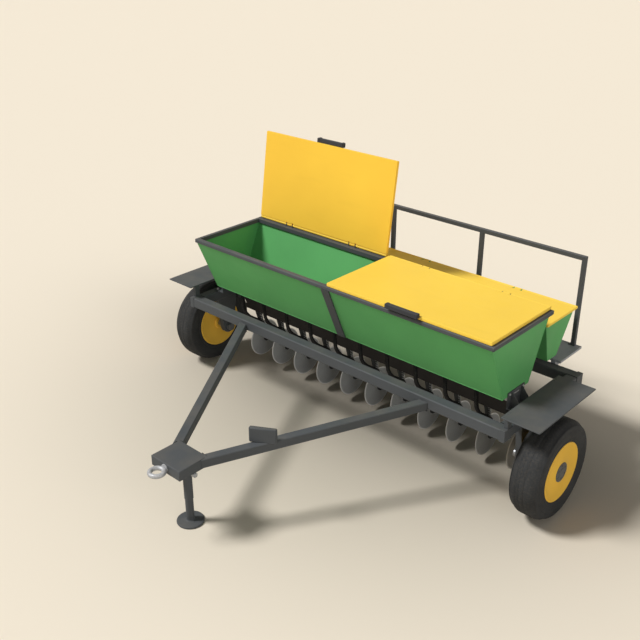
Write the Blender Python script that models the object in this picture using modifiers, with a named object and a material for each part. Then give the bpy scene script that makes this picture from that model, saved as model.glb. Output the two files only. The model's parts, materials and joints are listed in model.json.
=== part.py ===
"""A three metre drawn seed drill with disc openers, standing on its wheels and its jack.

Units are metres and +Z is up. X runs along the hopper, and -Y points to the towing end.
Every place is worked out from the named sizes, in a frame whose Y is 0 at the middle of the
hopper and whose Z is 0 on the ground. One empty carries the whole drill, and shifts it so
that the world's origin is under the middle of its outline.
"""
import math

import bmesh
import bpy
from mathutils import Vector

# Fits between pieces
GAP = 0.0003               # between two pieces that are seated on each other
RUNNING_GAP = 0.0006       # round an axle, a pin or a sliding leg
END_PLAY = 0.001           # along an axle or a pin
OVERRUN = 0.02             # how far a cutter reaches past what it cuts
WELD = 0.00001             # points closer than this are one point

# The length that the frame, the boxes, the lids and the rows of openers follow
HOPPER_LENGTH = 2.960

# Frame of square tube
BEAM = 0.088
BEAM_WALL = 0.006
BEAM_ROUND = 0.006
BEAM_END = 0.150           # how far the cross tubes reach past the hopper
FRAME_TOP = 0.778
FRONT_BEAM_Y = -0.320
REAR_BEAM_Y = 0.688
BEAM_LENGTH = HOPPER_LENGTH + 2 * BEAM_END
FRAME_FLOOR = FRAME_TOP - BEAM
FRONT_BEAM_FACE = FRONT_BEAM_Y - BEAM / 2
SIDE_BEAM_X = BEAM_LENGTH / 2 - BEAM / 2

# Hitch block, eye and drawbar arms
BLOCK_WIDTH = 0.302
BLOCK_LENGTH = 0.253
BLOCK_HEIGHT = 0.082
BLOCK_TOP = 0.588
BLOCK_BACK = -1.728
BLOCK_ROUND = 0.005
BLOCK_FRONT = BLOCK_BACK - BLOCK_LENGTH
BLOCK_FLOOR = BLOCK_TOP - BLOCK_HEIGHT
EYE_RING = 0.049           # from the eye's middle to the middle of its bar
EYE_BAR = 0.017            # radius of the bar that the eye is bent from
EYE_PLATE_RADIUS = 0.030
EYE_PLATE = 0.008
EYE_STEM = 0.020           # from the middle of the eye's bar to the block
EYE_Z = 0.552
EYE_Y = BLOCK_FRONT - EYE_STEM - EYE_RING
ARM = 0.070
ARM_WALL = 0.012
ARM_ROUND = 0.005
ARM_HITCH = (0.122, -1.775, 0.550)     # where an arm's centre line starts inside the block
ARM_BEAM_X = 0.975
ARM_BEAM_Z = 0.716

# Holder for the hose couplings on the right arm
HOLDER_WIDTH = 0.200
HOLDER_DEPTH = 0.036
HOLDER_TOP = 0.742
HOLDER_HEIGHT = 0.120
HOLDER_Y = -1.390
HOLDER_TURN = math.radians(30)
HOLDER_ROUND = 0.008

# Parking jack
JACK_Y = -1.800
SLEEVE_RADIUS = 0.0330
SLEEVE_WALL = 0.0030
SLEEVE_FLOOR = 0.200
LEG_TOP = 0.290
FOOT_RADIUS = 0.100
FOOT_THICK = 0.016
FOOT_BEVEL = 0.005
PLUNGER_Z = 0.438
PLUNGER_NECK = 0.009
PLUNGER_KNOB = 0.019
PLUNGER_NECK_LENGTH = 0.030
PLUNGER_KNOB_LENGTH = 0.034
LEG_RADIUS = SLEEVE_RADIUS - SLEEVE_WALL - RUNNING_GAP

# Main hopper
HOPPER_TOP = 1.340
HOPPER_FLOOR = 0.874
HOPPER_TOP_DEPTH = 0.740
HOPPER_FLOOR_DEPTH = 0.336
HOPPER_WALL = 0.003
RIM_PROUD = 0.020
RIM_DEPTH = 0.764
RIM_WIDTH = 0.036
RIM_HEIGHT = 0.035
RIM_ROUND = 0.006
RIM_FLOOR = HOPPER_TOP + GAP
RIM_TOP = RIM_FLOOR + RIM_HEIGHT
RIM_LENGTH = HOPPER_LENGTH + 2 * RIM_PROUD
STRAP_WIDTH = 0.078
STRAP_THICK = 0.012
STAND_WIDTH = 0.300
STAND_PLATE = 0.008
STAND_HEIGHT = 0.110       # how far the stand's plate reaches up the hopper's end
STAND_RIB_SPACING = 0.200

# Lids of the main hopper
LID_END = 0.005            # from the hopper's end to the lid's end
LID_DEPTH = 0.760
LID_THICK = 0.028
LID_ROUND = 0.006
LID_SPLIT = 0.030          # between the two lids at the middle
LID_BACK_OVERHANG = 0.004
LID_LENGTH = (HOPPER_LENGTH - LID_SPLIT) / 2 - LID_END
LID_OPEN = math.radians(98)
HANDLE_LENGTH = 0.290
HANDLE_BAR = 0.036
HANDLE_ROUND = 0.005
HANDLE_RISE = 0.0200       # the bar's middle above the lid's middle

# Hinges of all lids
HINGE_SET_BACK = 0.010     # the pin behind the lid's back edge
HINGE_PIN = 0.007
KNUCKLE = 0.013
KNUCKLE_LENGTH = 0.060
EAR = 0.008
EAR_ROUND_PIN = 0.009      # what the ear keeps round the pin's middle
EAR_DROP = 0.030
NOTCH_CLEAR = 0.006
WEB_DEPTH = 0.030
WEB_THICK = 0.018

# Small-seed box behind the hopper
REAR_BOX_INSET = 0.080     # from the hopper's end to the box's end
REAR_BOX_TOP = 1.1747
REAR_BOX_FLOOR = 0.853
REAR_BOX_TOP_FRONT = 0.508
REAR_BOX_TOP_BACK = 0.926
REAR_BOX_FLOOR_FRONT = 0.590
REAR_BOX_FLOOR_BACK = 0.725
REAR_BOX_WALL = 0.006
REAR_LID_PROUD = 0.020
REAR_LID_THICK = 0.020
REAR_LID_OVERHANG = 0.010
REAR_STAND = 0.060
REAR_STAND_INSET = 0.500   # from the box's end to the outer stand
REAR_BOX_LENGTH = HOPPER_LENGTH - 2 * REAR_BOX_INSET
REAR_LID_LENGTH = REAR_BOX_LENGTH + 2 * REAR_LID_PROUD
REAR_STAND_SPACING = REAR_BOX_LENGTH / 2 - REAR_STAND_INSET

# Platform and handrail
PLATFORM_INSET = 0.040     # from the hopper's end to the platform's end
PLATFORM_FRONT = 0.737
PLATFORM_BACK = 1.075
PLATFORM_TOP = 0.808
PLATFORM_SKIN = 0.004
PLATFORM_LIP = 0.020
BEARER_WIDTH = 0.040
BEARER_HEIGHT = 0.060
POST_INSET = 0.060
RAIL_Y = 1.052
RAIL_TOP = 1.565
RAIL_TUBE = 0.0135
RAIL_BEND = 0.030
POSTS = 4
PLATFORM_LENGTH = HOPPER_LENGTH - 2 * PLATFORM_INSET
POST_SPACING = (PLATFORM_LENGTH - 2 * POST_INSET) / (POSTS - 1)

# Wheels, axles and fenders
TYRE_RADIUS = 0.378
TYRE_WIDTH = 0.218
TYRE_TREAD = 0.140
TYRE_SHOULDER = 0.026      # how far the sidewall ends below the tread
RIM_DISC = 0.229
RIM_DISC_WIDTH = 0.206
RIM_LIP = 0.015
RIM_DISH = 0.006
HUB_RADIUS = 0.075
HUB_BOSS_RADIUS = 0.055
HUB_BOSS = 0.012
WHEEL_OUT = 0.166          # from the frame's side to the wheel's middle
WHEEL_Y = 0.015
AXLE_RADIUS = 0.022
AXLE_REACH = 0.065         # the axle's end beyond the wheel's middle
AXLE_COLLAR = 0.034
AXLE_NUT_LENGTH = 0.038
AXLE_ARM = 0.050
AXLE_ARM_TOP_WIDTH = 0.220
AXLE_ARM_END = 0.062
WHEEL_X = BEAM_LENGTH / 2 + WHEEL_OUT
FENDER_LAP = 0.034         # how far it reaches in over the frame's side
FENDER_WIDTH = 0.298
FENDER_FRONT = -0.384
FENDER_BACK = 0.399
FENDER_TOP = 0.890
FENDER_THICK = 0.010
FENDER_LEG = 0.028
FENDER_LEG_WIDTH = 0.050
FENDER_LEG_INSET = 0.080
FENDER_INNER = BEAM_LENGTH / 2 - FENDER_LAP
FENDER_OUTER = FENDER_INNER + FENDER_WIDTH

# Metering unit and seed tubes under the hopper
ROWS = 11
METER_INSET = 0.030        # from the hopper's end to the rail's end
METER_END = 0.055          # from the rail's end to the room of its last row
METER_DEPTH = 0.100
METER_HEIGHT = 0.036
CUP_WIDTH = 0.056
CUP_DEPTH = 0.080
CUP_HEIGHT = 0.055
TUBE_RADIUS = 0.016
METER_LENGTH = HOPPER_LENGTH - 2 * METER_INSET
ROW_SPACING = (METER_LENGTH - 2 * METER_END) / (ROWS - 1)
TUBE_SIDE = 0.051          # the tubes run beside the discs by this much
# Route of a seed tube from its cup to its boot: depth and height
TUBE_ROUTE = ((0.000, 0.800), (0.002, 0.700), (0.022, 0.605), (0.075, 0.530),
              (0.160, 0.466), (0.232, 0.412), (0.262, 0.368))
TUBE_TAIL = 0.016          # straight end above the boot

# Opener gang
TOOLBAR = 0.060
TOOLBAR_WALL = 0.006
TOOLBAR_INSET = 0.030      # from the frame's side to the toolbar's end
TOOLBAR_Y = 0.180
TOOLBAR_LENGTH = BEAM_LENGTH - 2 * TOOLBAR_INSET
SHANK_WIDTH = 0.050
SHANK_THICK = 0.018
SHANK_END = 0.028
BOOT_RADIUS = 0.021
BOOT_LENGTH = 0.085
DISC_RADIUS = 0.178
DISC_THICK = 0.006
DISC_BEVEL = 0.012
DISC_Y = 0.315
DISC_Z = 0.207
DISC_BOSS_RADIUS = 0.034
DISC_BOSS = 0.010
DISC_PIN = 0.012
DISC_PIN_HEAD = 0.019
DISC_PIN_HEAD_LENGTH = 0.008
DISC_NUT = 0.024
DISC_NUT_LENGTH = 0.013

# Facets
WHEEL_STEPS = 32
DISC_STEPS = 24
PIN_STEPS = 8
KNUCKLE_STEPS = 12
NUT_STEPS = 6
SLEEVE_STEPS = 16
EYE_STEPS = 24
EYE_SIDES = 8
ARC_STEPS = 6
BAR_RESOLUTION = 2         # of the rounding of tubes and rails
SMOOTH_ANGLE = math.radians(35)

# Outline of the whole drill, and the shift that centres it on the origin
EYE_FRONT = EYE_Y - EYE_RING - EYE_BAR
DRILL_SHIFT = -(EYE_FRONT + PLATFORM_BACK) / 2

for old in list(bpy.data.objects):
    bpy.data.objects.remove(old, do_unlink=True)

PARTS = bpy.data.collections.new("seed_drill")
TOOLS = bpy.data.collections.new("tools")
for group in (PARTS, TOOLS):
    bpy.context.scene.collection.children.link(group)


def paint(name, colour, roughness, metallic=0.0):
    """A plain Principled material."""
    material = bpy.data.materials.new(name)
    material.use_nodes = True
    shader = material.node_tree.nodes["Principled BSDF"]
    shader.inputs["Base Color"].default_value = (*colour, 1)
    shader.inputs["Roughness"].default_value = roughness
    shader.inputs["Metallic"].default_value = metallic
    return material


GREEN = paint("green_paint", (0.07, 0.27, 0.08), 0.45)
YELLOW = paint("yellow_lid", (1.0, 0.55, 0.06), 0.45)
RIM_YELLOW = paint("yellow_rim", (0.80, 0.47, 0.07), 0.45)
GREY = paint("dark_grey_paint", (0.065, 0.070, 0.075), 0.55)
STEEL = paint("bare_steel", (0.55, 0.55, 0.57), 0.35, 1.0)
DISC_STEEL = paint("disc_steel", (0.25, 0.26, 0.27), 0.40, 0.6)
RUBBER = paint("tyre_rubber", (0.035, 0.035, 0.037), 0.85)


def link(piece, finish, parent, smooth=True):
    """Put a piece in the model, or a piece with no finish among the tools."""
    piece.parent = parent
    if finish is None:
        TOOLS.objects.link(piece)
        piece.hide_render = True
        piece.display_type = "WIRE"
    else:
        PARTS.objects.link(piece)
        piece.data.materials.append(finish)
        if smooth:
            piece.data.shade_smooth()
            piece.data.set_sharp_from_angle(angle=SMOOTH_ANGLE)
    return piece


def empty(name, place, turn=(0, 0, 0), parent=None):
    """An empty that carries pieces at a joint's axis."""
    carrier = bpy.data.objects.new(name, None)
    carrier.location = place
    carrier.rotation_euler = turn
    carrier.parent = parent
    PARTS.objects.link(carrier)
    return carrier


DRILL = empty("seed_drill", (0, DRILL_SHIFT, 0))


def mesh_of(maker, welded=True):
    """The evaluated mesh of a helper object, which is then removed."""
    TOOLS.objects.link(maker)
    graph = bpy.context.evaluated_depsgraph_get()
    mesh = bpy.data.meshes.new_from_object(maker.evaluated_get(graph))
    bpy.data.objects.remove(maker, do_unlink=True)
    if welded:
        bm = bmesh.new()
        bm.from_mesh(mesh)
        bmesh.ops.remove_doubles(bm, verts=bm.verts, dist=WELD)
        bm.to_mesh(mesh)
        bm.free()
    mesh.materials.clear()
    return mesh


def block(name, corner, other, finish=None, parent=DRILL):
    """A box between two opposite corners, with its origin at its middle."""
    low = Vector(map(min, corner, other))
    high = Vector(map(max, corner, other))
    bm = bmesh.new()
    bmesh.ops.create_cube(bm, size=1)
    bmesh.ops.scale(bm, vec=high - low, verts=bm.verts)
    mesh = bpy.data.meshes.new(name)
    bm.to_mesh(mesh)
    bm.free()
    piece = bpy.data.objects.new(name, mesh)
    piece.location = (low + high) / 2
    return link(piece, finish, parent, smooth=False)


AXIS_TURNS = {"X": (0, math.pi / 2, 0), "Y": (-math.pi / 2, 0, 0), "Z": (0, 0, 0)}


def turned(name, outline, along, place, steps, finish=None, parent=DRILL, closed=False):
    """A turned piece. Its outline is (radius, distance along the axis), the far end first."""
    points = [(radius, 0, reach) for radius, reach in outline]
    edges = [(n, n + 1) for n in range(len(points) - 1)]
    if closed:
        edges.append((len(points) - 1, 0))
    profile = bpy.data.meshes.new(name + "_profile")
    profile.from_pydata(points, edges, [])
    maker = bpy.data.objects.new(name + "_profile", profile)
    screw = maker.modifiers.new("turn", "SCREW")
    screw.steps = screw.render_steps = steps
    screw.use_merge_vertices = True
    screw.merge_threshold = WELD
    piece = bpy.data.objects.new(name, mesh_of(maker))
    piece.location = place
    piece.rotation_euler = AXIS_TURNS[along]
    return link(piece, finish, parent)


def outlined(name, outline, across, low, high, finish=None, parent=DRILL):
    """A flat outline, thickened along X (outline in Y and Z) or along Y (in X and Z)."""
    curve = bpy.data.curves.new(name + "_outline", "CURVE")
    curve.dimensions = "2D"
    curve.fill_mode = "BOTH"
    curve.extrude = (high - low) / 2
    spline = curve.splines.new("POLY")
    spline.points.add(len(outline) - 1)
    for point, (right, up) in zip(spline.points, outline):
        point.co = (right, up, 0, 1)
    spline.use_cyclic_u = True
    piece = bpy.data.objects.new(name, mesh_of(bpy.data.objects.new(name + "_maker", curve)))
    middle = (low + high) / 2
    if across == "X":
        piece.location = (middle, 0, 0)
        piece.rotation_euler = (math.pi / 2, 0, math.pi / 2)
    else:
        piece.location = (0, middle, 0)
        piece.rotation_euler = (math.pi / 2, 0, 0)
    return link(piece, finish, parent)


def round_bar(name, route, radius, finish=None, parent=DRILL):
    """A round bar or tube along a route of points."""
    curve = bpy.data.curves.new(name + "_route", "CURVE")
    curve.dimensions = "3D"
    curve.bevel_depth = radius
    curve.bevel_resolution = BAR_RESOLUTION
    curve.use_fill_caps = True
    spline = curve.splines.new("POLY")
    spline.points.add(len(route) - 1)
    for point, place in zip(spline.points, route):
        point.co = (*place, 1)
    piece = bpy.data.objects.new(name, mesh_of(bpy.data.objects.new(name + "_maker", curve)))
    return link(piece, finish, parent)


def rounded(piece, width, segments=1):
    """Round a piece's edges."""
    bevel = piece.modifiers.new("round", "BEVEL")
    bevel.width = width
    bevel.segments = segments
    return piece


def combine(piece, tool, operation):
    """Join a tool to a piece, or cut it away."""
    step = piece.modifiers.new(tool.name, "BOOLEAN")
    step.operation = operation
    step.object = tool
    return piece


def join(piece, *tools):
    """Fuse tools with a piece."""
    for tool in tools:
        combine(piece, tool, "UNION")
    return piece


def cut(piece, *tools):
    """Cut tools away from a piece."""
    for tool in tools:
        combine(piece, tool, "DIFFERENCE")
    return piece


def row_of(tool, count, spacing):
    """Repeat a tool along X."""
    array = tool.modifiers.new("row", "ARRAY")
    array.count = count
    array.use_relative_offset = False
    array.use_constant_offset = True
    turn_back = tool.rotation_euler.to_matrix().inverted()
    array.constant_offset_displace = turn_back @ Vector((spacing, 0, 0))
    return tool


def arc(centre, radius, start, end, steps=ARC_STEPS):
    """Points on an arc in a plane, from one angle to another in degrees."""
    points = []
    for n in range(steps + 1):
        angle = math.radians(start + (end - start) * n / steps)
        points.append((centre[0] + radius * math.cos(angle), centre[1] + radius * math.sin(angle)))
    return points


# Frame: four square tubes

def beam(name, low, high, open_along):
    """A square tube, open at the ends that lie along one axis."""
    piece = rounded(block(name, low, high, GREY), BEAM_ROUND)
    inner_low, inner_high = [], []
    for axis, (start, end) in enumerate(zip(low, high)):
        grow = OVERRUN if "XYZ"[axis] == open_along else -BEAM_WALL
        inner_low.append(start - grow)
        inner_high.append(end + grow)
    return cut(piece, block(name + "_bore", inner_low, inner_high))


for label, middle in (("front_beam", FRONT_BEAM_Y), ("rear_beam", REAR_BEAM_Y)):
    beam(label, (-BEAM_LENGTH / 2, middle - BEAM / 2, FRAME_FLOOR),
         (BEAM_LENGTH / 2, middle + BEAM / 2, FRAME_TOP), "X")
for label, side in (("left", -1), ("right", 1)):
    beam("side_beam_" + label,
         (side * SIDE_BEAM_X - BEAM / 2, FRONT_BEAM_Y + BEAM / 2 + GAP, FRAME_FLOOR),
         (side * SIDE_BEAM_X + BEAM / 2, REAR_BEAM_Y - BEAM / 2 - GAP, FRAME_TOP), "Y")


# Hitch: block, eye, drawbar arms and holder

block_low = (-BLOCK_WIDTH / 2, BLOCK_FRONT, BLOCK_FLOOR)
block_high = (BLOCK_WIDTH / 2, BLOCK_BACK, BLOCK_TOP)
rounded(block("hitch_block", block_low, block_high, GREY), BLOCK_ROUND)

ring = [(EYE_RING + px, pz) for px, pz in arc((0, 0), EYE_BAR, 180, -180, EYE_SIDES)[:-1]]
eye = turned("hitch_eye", ring, "Z", (0, EYE_Y, EYE_Z), EYE_STEPS, STEEL, closed=True)
stem_end = EYE_RING + EYE_STEM - GAP
join(eye, turned("eye_stem", [(0, stem_end), (EYE_PLATE_RADIUS, stem_end),
                              (EYE_PLATE_RADIUS, stem_end - EYE_PLATE),
                              (EYE_BAR, stem_end - EYE_PLATE), (EYE_BAR, EYE_RING - EYE_BAR / 2),
                              (0, EYE_RING - EYE_BAR / 2)], "Y", (0, EYE_Y, EYE_Z), PIN_STEPS))


def arm_bar(name, side, grow, finish=None, reach=0.0):
    """A drawbar arm's straight bar, grown all round for a cutter, from the block to the beam."""
    start = Vector((side * ARM_HITCH[0], ARM_HITCH[1], ARM_HITCH[2]))
    end = Vector((side * ARM_BEAM_X, FRONT_BEAM_Y, ARM_BEAM_Z))
    run = end - start
    half = ARM / 2 + grow
    bar = block(name, (-reach, -half, -half), (run.length + reach, half, half), finish)
    turn = run.to_track_quat("X", "Z")
    bar.location = start + turn @ bar.location
    bar.rotation_euler = turn.to_euler()
    return bar


for label, side in (("left", -1), ("right", 1)):
    arm = rounded(arm_bar("drawbar_" + label, side, 0, GREY), ARM_ROUND)
    cut(arm, arm_bar("arm_bore_" + label, side, -ARM_WALL, reach=OVERRUN),
        block("arm_block_cut_" + label, [place - GAP for place in block_low],
              [place + GAP for place in block_high]),
        block("arm_beam_cut_" + label,
              (-BEAM_LENGTH / 2, FRONT_BEAM_FACE - GAP, FRAME_FLOOR - OVERRUN),
              (BEAM_LENGTH / 2, FRONT_BEAM_Y + BEAM, FRAME_TOP + OVERRUN)))

holder_share = (HOLDER_Y - ARM_HITCH[1]) / (FRONT_BEAM_Y - ARM_HITCH[1])
holder_x = ARM_HITCH[0] + (ARM_BEAM_X - ARM_HITCH[0]) * holder_share
holder = rounded(block("coupling_holder",
                       (-HOLDER_WIDTH / 2, -HOLDER_DEPTH / 2, HOLDER_TOP - HOLDER_HEIGHT),
                       (HOLDER_WIDTH / 2, HOLDER_DEPTH / 2, HOLDER_TOP), GREY), HOLDER_ROUND)
holder.location += Vector((holder_x, HOLDER_Y, 0))
holder.rotation_euler = (0, 0, HOLDER_TURN)
cut(holder, arm_bar("holder_seat", 1, GAP))


# Parking jack: sleeve, leg with its foot, plunger

turned("jack_sleeve", [(SLEEVE_RADIUS, BLOCK_FLOOR - GAP), (SLEEVE_RADIUS, SLEEVE_FLOOR),
                       (SLEEVE_RADIUS - SLEEVE_WALL, SLEEVE_FLOOR),
                       (SLEEVE_RADIUS - SLEEVE_WALL, BLOCK_FLOOR - GAP)],
       "Z", (0, JACK_Y, 0), SLEEVE_STEPS, GREY, closed=True)
turned("jack_leg", [(0, LEG_TOP), (LEG_RADIUS, LEG_TOP), (LEG_RADIUS, FOOT_THICK),
                    (FOOT_RADIUS - FOOT_BEVEL, FOOT_THICK), (FOOT_RADIUS, FOOT_THICK - FOOT_BEVEL),
                    (FOOT_RADIUS, 0), (0, 0)], "Z", (0, JACK_Y, 0), SLEEVE_STEPS, GREY)
neck_end = SLEEVE_RADIUS + GAP + PLUNGER_NECK_LENGTH
turned("jack_plunger", [(0, neck_end + PLUNGER_KNOB_LENGTH),
                        (PLUNGER_KNOB, neck_end + PLUNGER_KNOB_LENGTH), (PLUNGER_KNOB, neck_end),
                        (PLUNGER_NECK, neck_end), (PLUNGER_NECK, SLEEVE_RADIUS + GAP),
                        (0, SLEEVE_RADIUS + GAP)], "X", (0, JACK_Y, PLUNGER_Z), PIN_STEPS, STEEL)


# Main hopper, rim, strap and stands

def hopper_half_depth(height):
    """Half the hopper's outer depth at a height."""
    share = (height - HOPPER_FLOOR) / (HOPPER_TOP - HOPPER_FLOOR)
    return (HOPPER_FLOOR_DEPTH + (HOPPER_TOP_DEPTH - HOPPER_FLOOR_DEPTH) * share) / 2


def hopper_section(inset, floor, top):
    """The hopper's outline across, set in by a wall, between two heights."""
    low, high = hopper_half_depth(floor) - inset, hopper_half_depth(top) - inset
    return [(-low, floor), (low, floor), (high, top), (-high, top)]


hopper = outlined("hopper_box", hopper_section(0, HOPPER_FLOOR, HOPPER_TOP), "X",
                  -HOPPER_LENGTH / 2, HOPPER_LENGTH / 2, GREEN)
for label, side in (("left", -1), ("right", 1)):
    ends = sorted((side * HOPPER_WALL / 2, side * (HOPPER_LENGTH / 2 - HOPPER_WALL)))
    cut(hopper, outlined("hopper_room_" + label,
                         hopper_section(HOPPER_WALL, HOPPER_FLOOR + HOPPER_WALL, HOPPER_TOP + OVERRUN),
                         "X", ends[0], ends[1]))

hopper_rim = rounded(block("hopper_rim", (-RIM_LENGTH / 2, -RIM_DEPTH / 2, RIM_FLOOR),
                           (RIM_LENGTH / 2, RIM_DEPTH / 2, RIM_TOP), GREY), RIM_ROUND)
for label, side in (("left", -1), ("right", 1)):
    cut(hopper_rim, block("rim_mouth_" + label,
                          (side * RIM_WIDTH / 2, -RIM_DEPTH / 2 + RIM_WIDTH, RIM_FLOOR - OVERRUN),
                          (side * (RIM_LENGTH / 2 - RIM_WIDTH), RIM_DEPTH / 2 - RIM_WIDTH,
                           RIM_TOP + OVERRUN)))

strap_low, strap_high = hopper_half_depth(HOPPER_FLOOR) + GAP, hopper_half_depth(HOPPER_TOP) + GAP
outlined("centre_strap", [(-strap_low, HOPPER_FLOOR), (-strap_high, HOPPER_TOP),
                          (-strap_high - STRAP_THICK, HOPPER_TOP),
                          (-strap_low - STRAP_THICK, HOPPER_FLOOR)],
         "X", -STRAP_WIDTH / 2, STRAP_WIDTH / 2, GREY)

for label, side in (("left", -1), ("right", 1)):
    inner = side * (HOPPER_LENGTH / 2 + GAP)
    outer = side * (SIDE_BEAM_X + BEAM / 2 - FENDER_LEG - STAND_PLATE)
    floor = FRAME_TOP + GAP
    stand = outlined("hopper_stand_" + label,
                     [(inner, HOPPER_FLOOR + STAND_HEIGHT), (inner, floor), (outer, floor),
                      (outer, floor + STAND_PLATE), (inner + side * STAND_PLATE, floor + STAND_PLATE),
                      (inner + side * STAND_PLATE, HOPPER_FLOOR + STAND_HEIGHT)][::side],
                     "Y", -STAND_WIDTH / 2, STAND_WIDTH / 2, GREY)
    rib = outlined("stand_rib_" + label,
                   [(inner + side * STAND_PLATE / 2, HOPPER_FLOOR + STAND_HEIGHT - STAND_PLATE),
                    (inner + side * STAND_PLATE / 2, floor + STAND_PLATE / 2),
                    (outer - side * STAND_PLATE, floor + STAND_PLATE / 2),
                    (inner + side * STAND_PLATE * 2, HOPPER_FLOOR + STAND_HEIGHT - STAND_PLATE)][::side],
                   "Y", -(STAND_RIB_SPACING + STAND_PLATE) / 2, -(STAND_RIB_SPACING - STAND_PLATE) / 2)
    ribs = rib.modifiers.new("pair", "ARRAY")
    ribs.use_relative_offset = False
    ribs.use_constant_offset = True
    ribs.constant_offset_displace = (0, 0, -STAND_RIB_SPACING)
    join(stand, rib)


# Lids with their hinges

def hinge(label, place, lid, carrier, carrier_face, parent):
    """One hinge: ears and pin on the carrier, a notch, a web and a knuckle on the lid.

    place is the middle of the pin in the drill's frame, lid turns about it, and the ears reach
    from the carrier's back face.
    """
    x, y, z = place
    half = KNUCKLE_LENGTH / 2
    for side in (-1, 1):
        start = x + side * (half + END_PLAY)
        join(carrier, block(f"ear_{label}_{side}", (start, carrier_face - EAR / 4, z - EAR_DROP),
                            (start + side * EAR, y + EAR_ROUND_PIN, z + EAR_ROUND_PIN)))
        notch_in = x + side * (half - EAR / 4)
        notch_out = start + side * (EAR + NOTCH_CLEAR)
        notch_front = carrier_face - EAR / 4 - NOTCH_CLEAR - y
        cut(lid, block(f"notch_{label}_{side}", (notch_in, notch_front, -OVERRUN),
                       (notch_out, OVERRUN, OVERRUN), parent=parent))
    reach = half + END_PLAY + EAR / 2
    pin_outline = [(0, reach), (HINGE_PIN, reach), (HINGE_PIN, -reach), (0, -reach)]
    join(carrier, turned(f"pin_{label}", pin_outline, "X", (x, y, z), PIN_STEPS))
    bore = HINGE_PIN + RUNNING_GAP
    join(lid, block(f"web_{label}", (x - half + EAR / 2, -HINGE_SET_BACK - WEB_DEPTH, -WEB_THICK / 2),
                    (x + half - EAR / 2, -bore - (KNUCKLE - bore) / 4, WEB_THICK / 2), parent=parent),
         turned(f"knuckle_{label}", [(KNUCKLE, half), (KNUCKLE, -half), (bore, -half), (bore, half)],
                "X", (x, 0, 0), KNUCKLE_STEPS, parent=parent, closed=True))


def lid_slab(name, low_x, high_x, depth, thick, parent):
    """A lid's slab behind which its hinge axis lies."""
    return rounded(block(name, (low_x, -HINGE_SET_BACK - depth, -thick / 2),
                         (high_x, -HINGE_SET_BACK, thick / 2), YELLOW, parent), LID_ROUND, 2)


hinge_y = RIM_DEPTH / 2 + LID_BACK_OVERHANG + HINGE_SET_BACK
hinge_z = RIM_TOP + GAP + LID_THICK / 2
for label, side, opened in (("left", -1, LID_OPEN), ("right", 1, 0)):
    axis = empty(f"lid_{label}_axis", (0, hinge_y, hinge_z), (-opened, 0, 0), DRILL)
    ends = sorted((side * LID_SPLIT / 2, side * (LID_SPLIT / 2 + LID_LENGTH)))
    lid = lid_slab("lid_" + label, ends[0], ends[1], LID_DEPTH, LID_THICK, axis)
    middle = sum(ends) / 2
    for n, offset in enumerate((-LID_LENGTH / 4, LID_LENGTH / 4)):
        hinge(f"{label}_{n}", (middle + offset, hinge_y, hinge_z), lid, hopper_rim, RIM_DEPTH / 2,
              axis)
    front = -HINGE_SET_BACK - LID_DEPTH - GAP
    rounded(block(f"lid_{label}_handle",
                  (middle - HANDLE_LENGTH / 2, front - HANDLE_BAR, HANDLE_RISE - HANDLE_BAR / 2),
                  (middle + HANDLE_LENGTH / 2, front, HANDLE_RISE + HANDLE_BAR / 2), GREY, axis),
            HANDLE_ROUND, 2)


# Small-seed box with its lid

def rear_section(inset, floor_lift, top_lift):
    """The small-seed box's outline across, set in by a wall."""
    return [(REAR_BOX_FLOOR_FRONT + inset, REAR_BOX_FLOOR + floor_lift),
            (REAR_BOX_FLOOR_BACK - inset, REAR_BOX_FLOOR + floor_lift),
            (REAR_BOX_TOP_BACK - inset, REAR_BOX_TOP + top_lift),
            (REAR_BOX_TOP_FRONT + inset, REAR_BOX_TOP + top_lift)]


rear_box = outlined("rear_box", rear_section(0, 0, 0), "X", -REAR_BOX_LENGTH / 2,
                    REAR_BOX_LENGTH / 2, GREEN)
cut(rear_box, outlined("rear_room", rear_section(REAR_BOX_WALL, REAR_BOX_WALL, OVERRUN / 4), "X",
                       REAR_BOX_WALL - REAR_BOX_LENGTH / 2, REAR_BOX_LENGTH / 2 - REAR_BOX_WALL))
for n in (-1, 0, 1):
    join(rear_box, block(f"rear_stand_{n}",
                         (n * REAR_STAND_SPACING - REAR_STAND / 2, REAR_BEAM_Y - REAR_STAND / 2,
                          FRAME_TOP + GAP),
                         (n * REAR_STAND_SPACING + REAR_STAND / 2, REAR_BEAM_Y + REAR_STAND / 2,
                          REAR_BOX_FLOOR + REAR_BOX_WALL / 2)))
rear_hinge_y = REAR_BOX_TOP_BACK + REAR_LID_OVERHANG + HINGE_SET_BACK
rear_hinge_z = REAR_BOX_TOP + GAP + REAR_LID_THICK / 2
rear_axis = empty("rear_lid_axis", (0, rear_hinge_y, rear_hinge_z), parent=DRILL)
rear_lid_depth = REAR_BOX_TOP_BACK - REAR_BOX_TOP_FRONT + REAR_LID_OVERHANG * 2
rear_lid = lid_slab("rear_lid", -REAR_LID_LENGTH / 2, REAR_LID_LENGTH / 2, rear_lid_depth,
                    REAR_LID_THICK, rear_axis)
for n in (-1, 0, 1):
    hinge(f"rear_{n}", (n * REAR_STAND_SPACING, rear_hinge_y, rear_hinge_z), rear_lid, rear_box,
          REAR_BOX_TOP_BACK - REAR_BOX_WALL / 2, rear_axis)


# Platform and handrail

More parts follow.
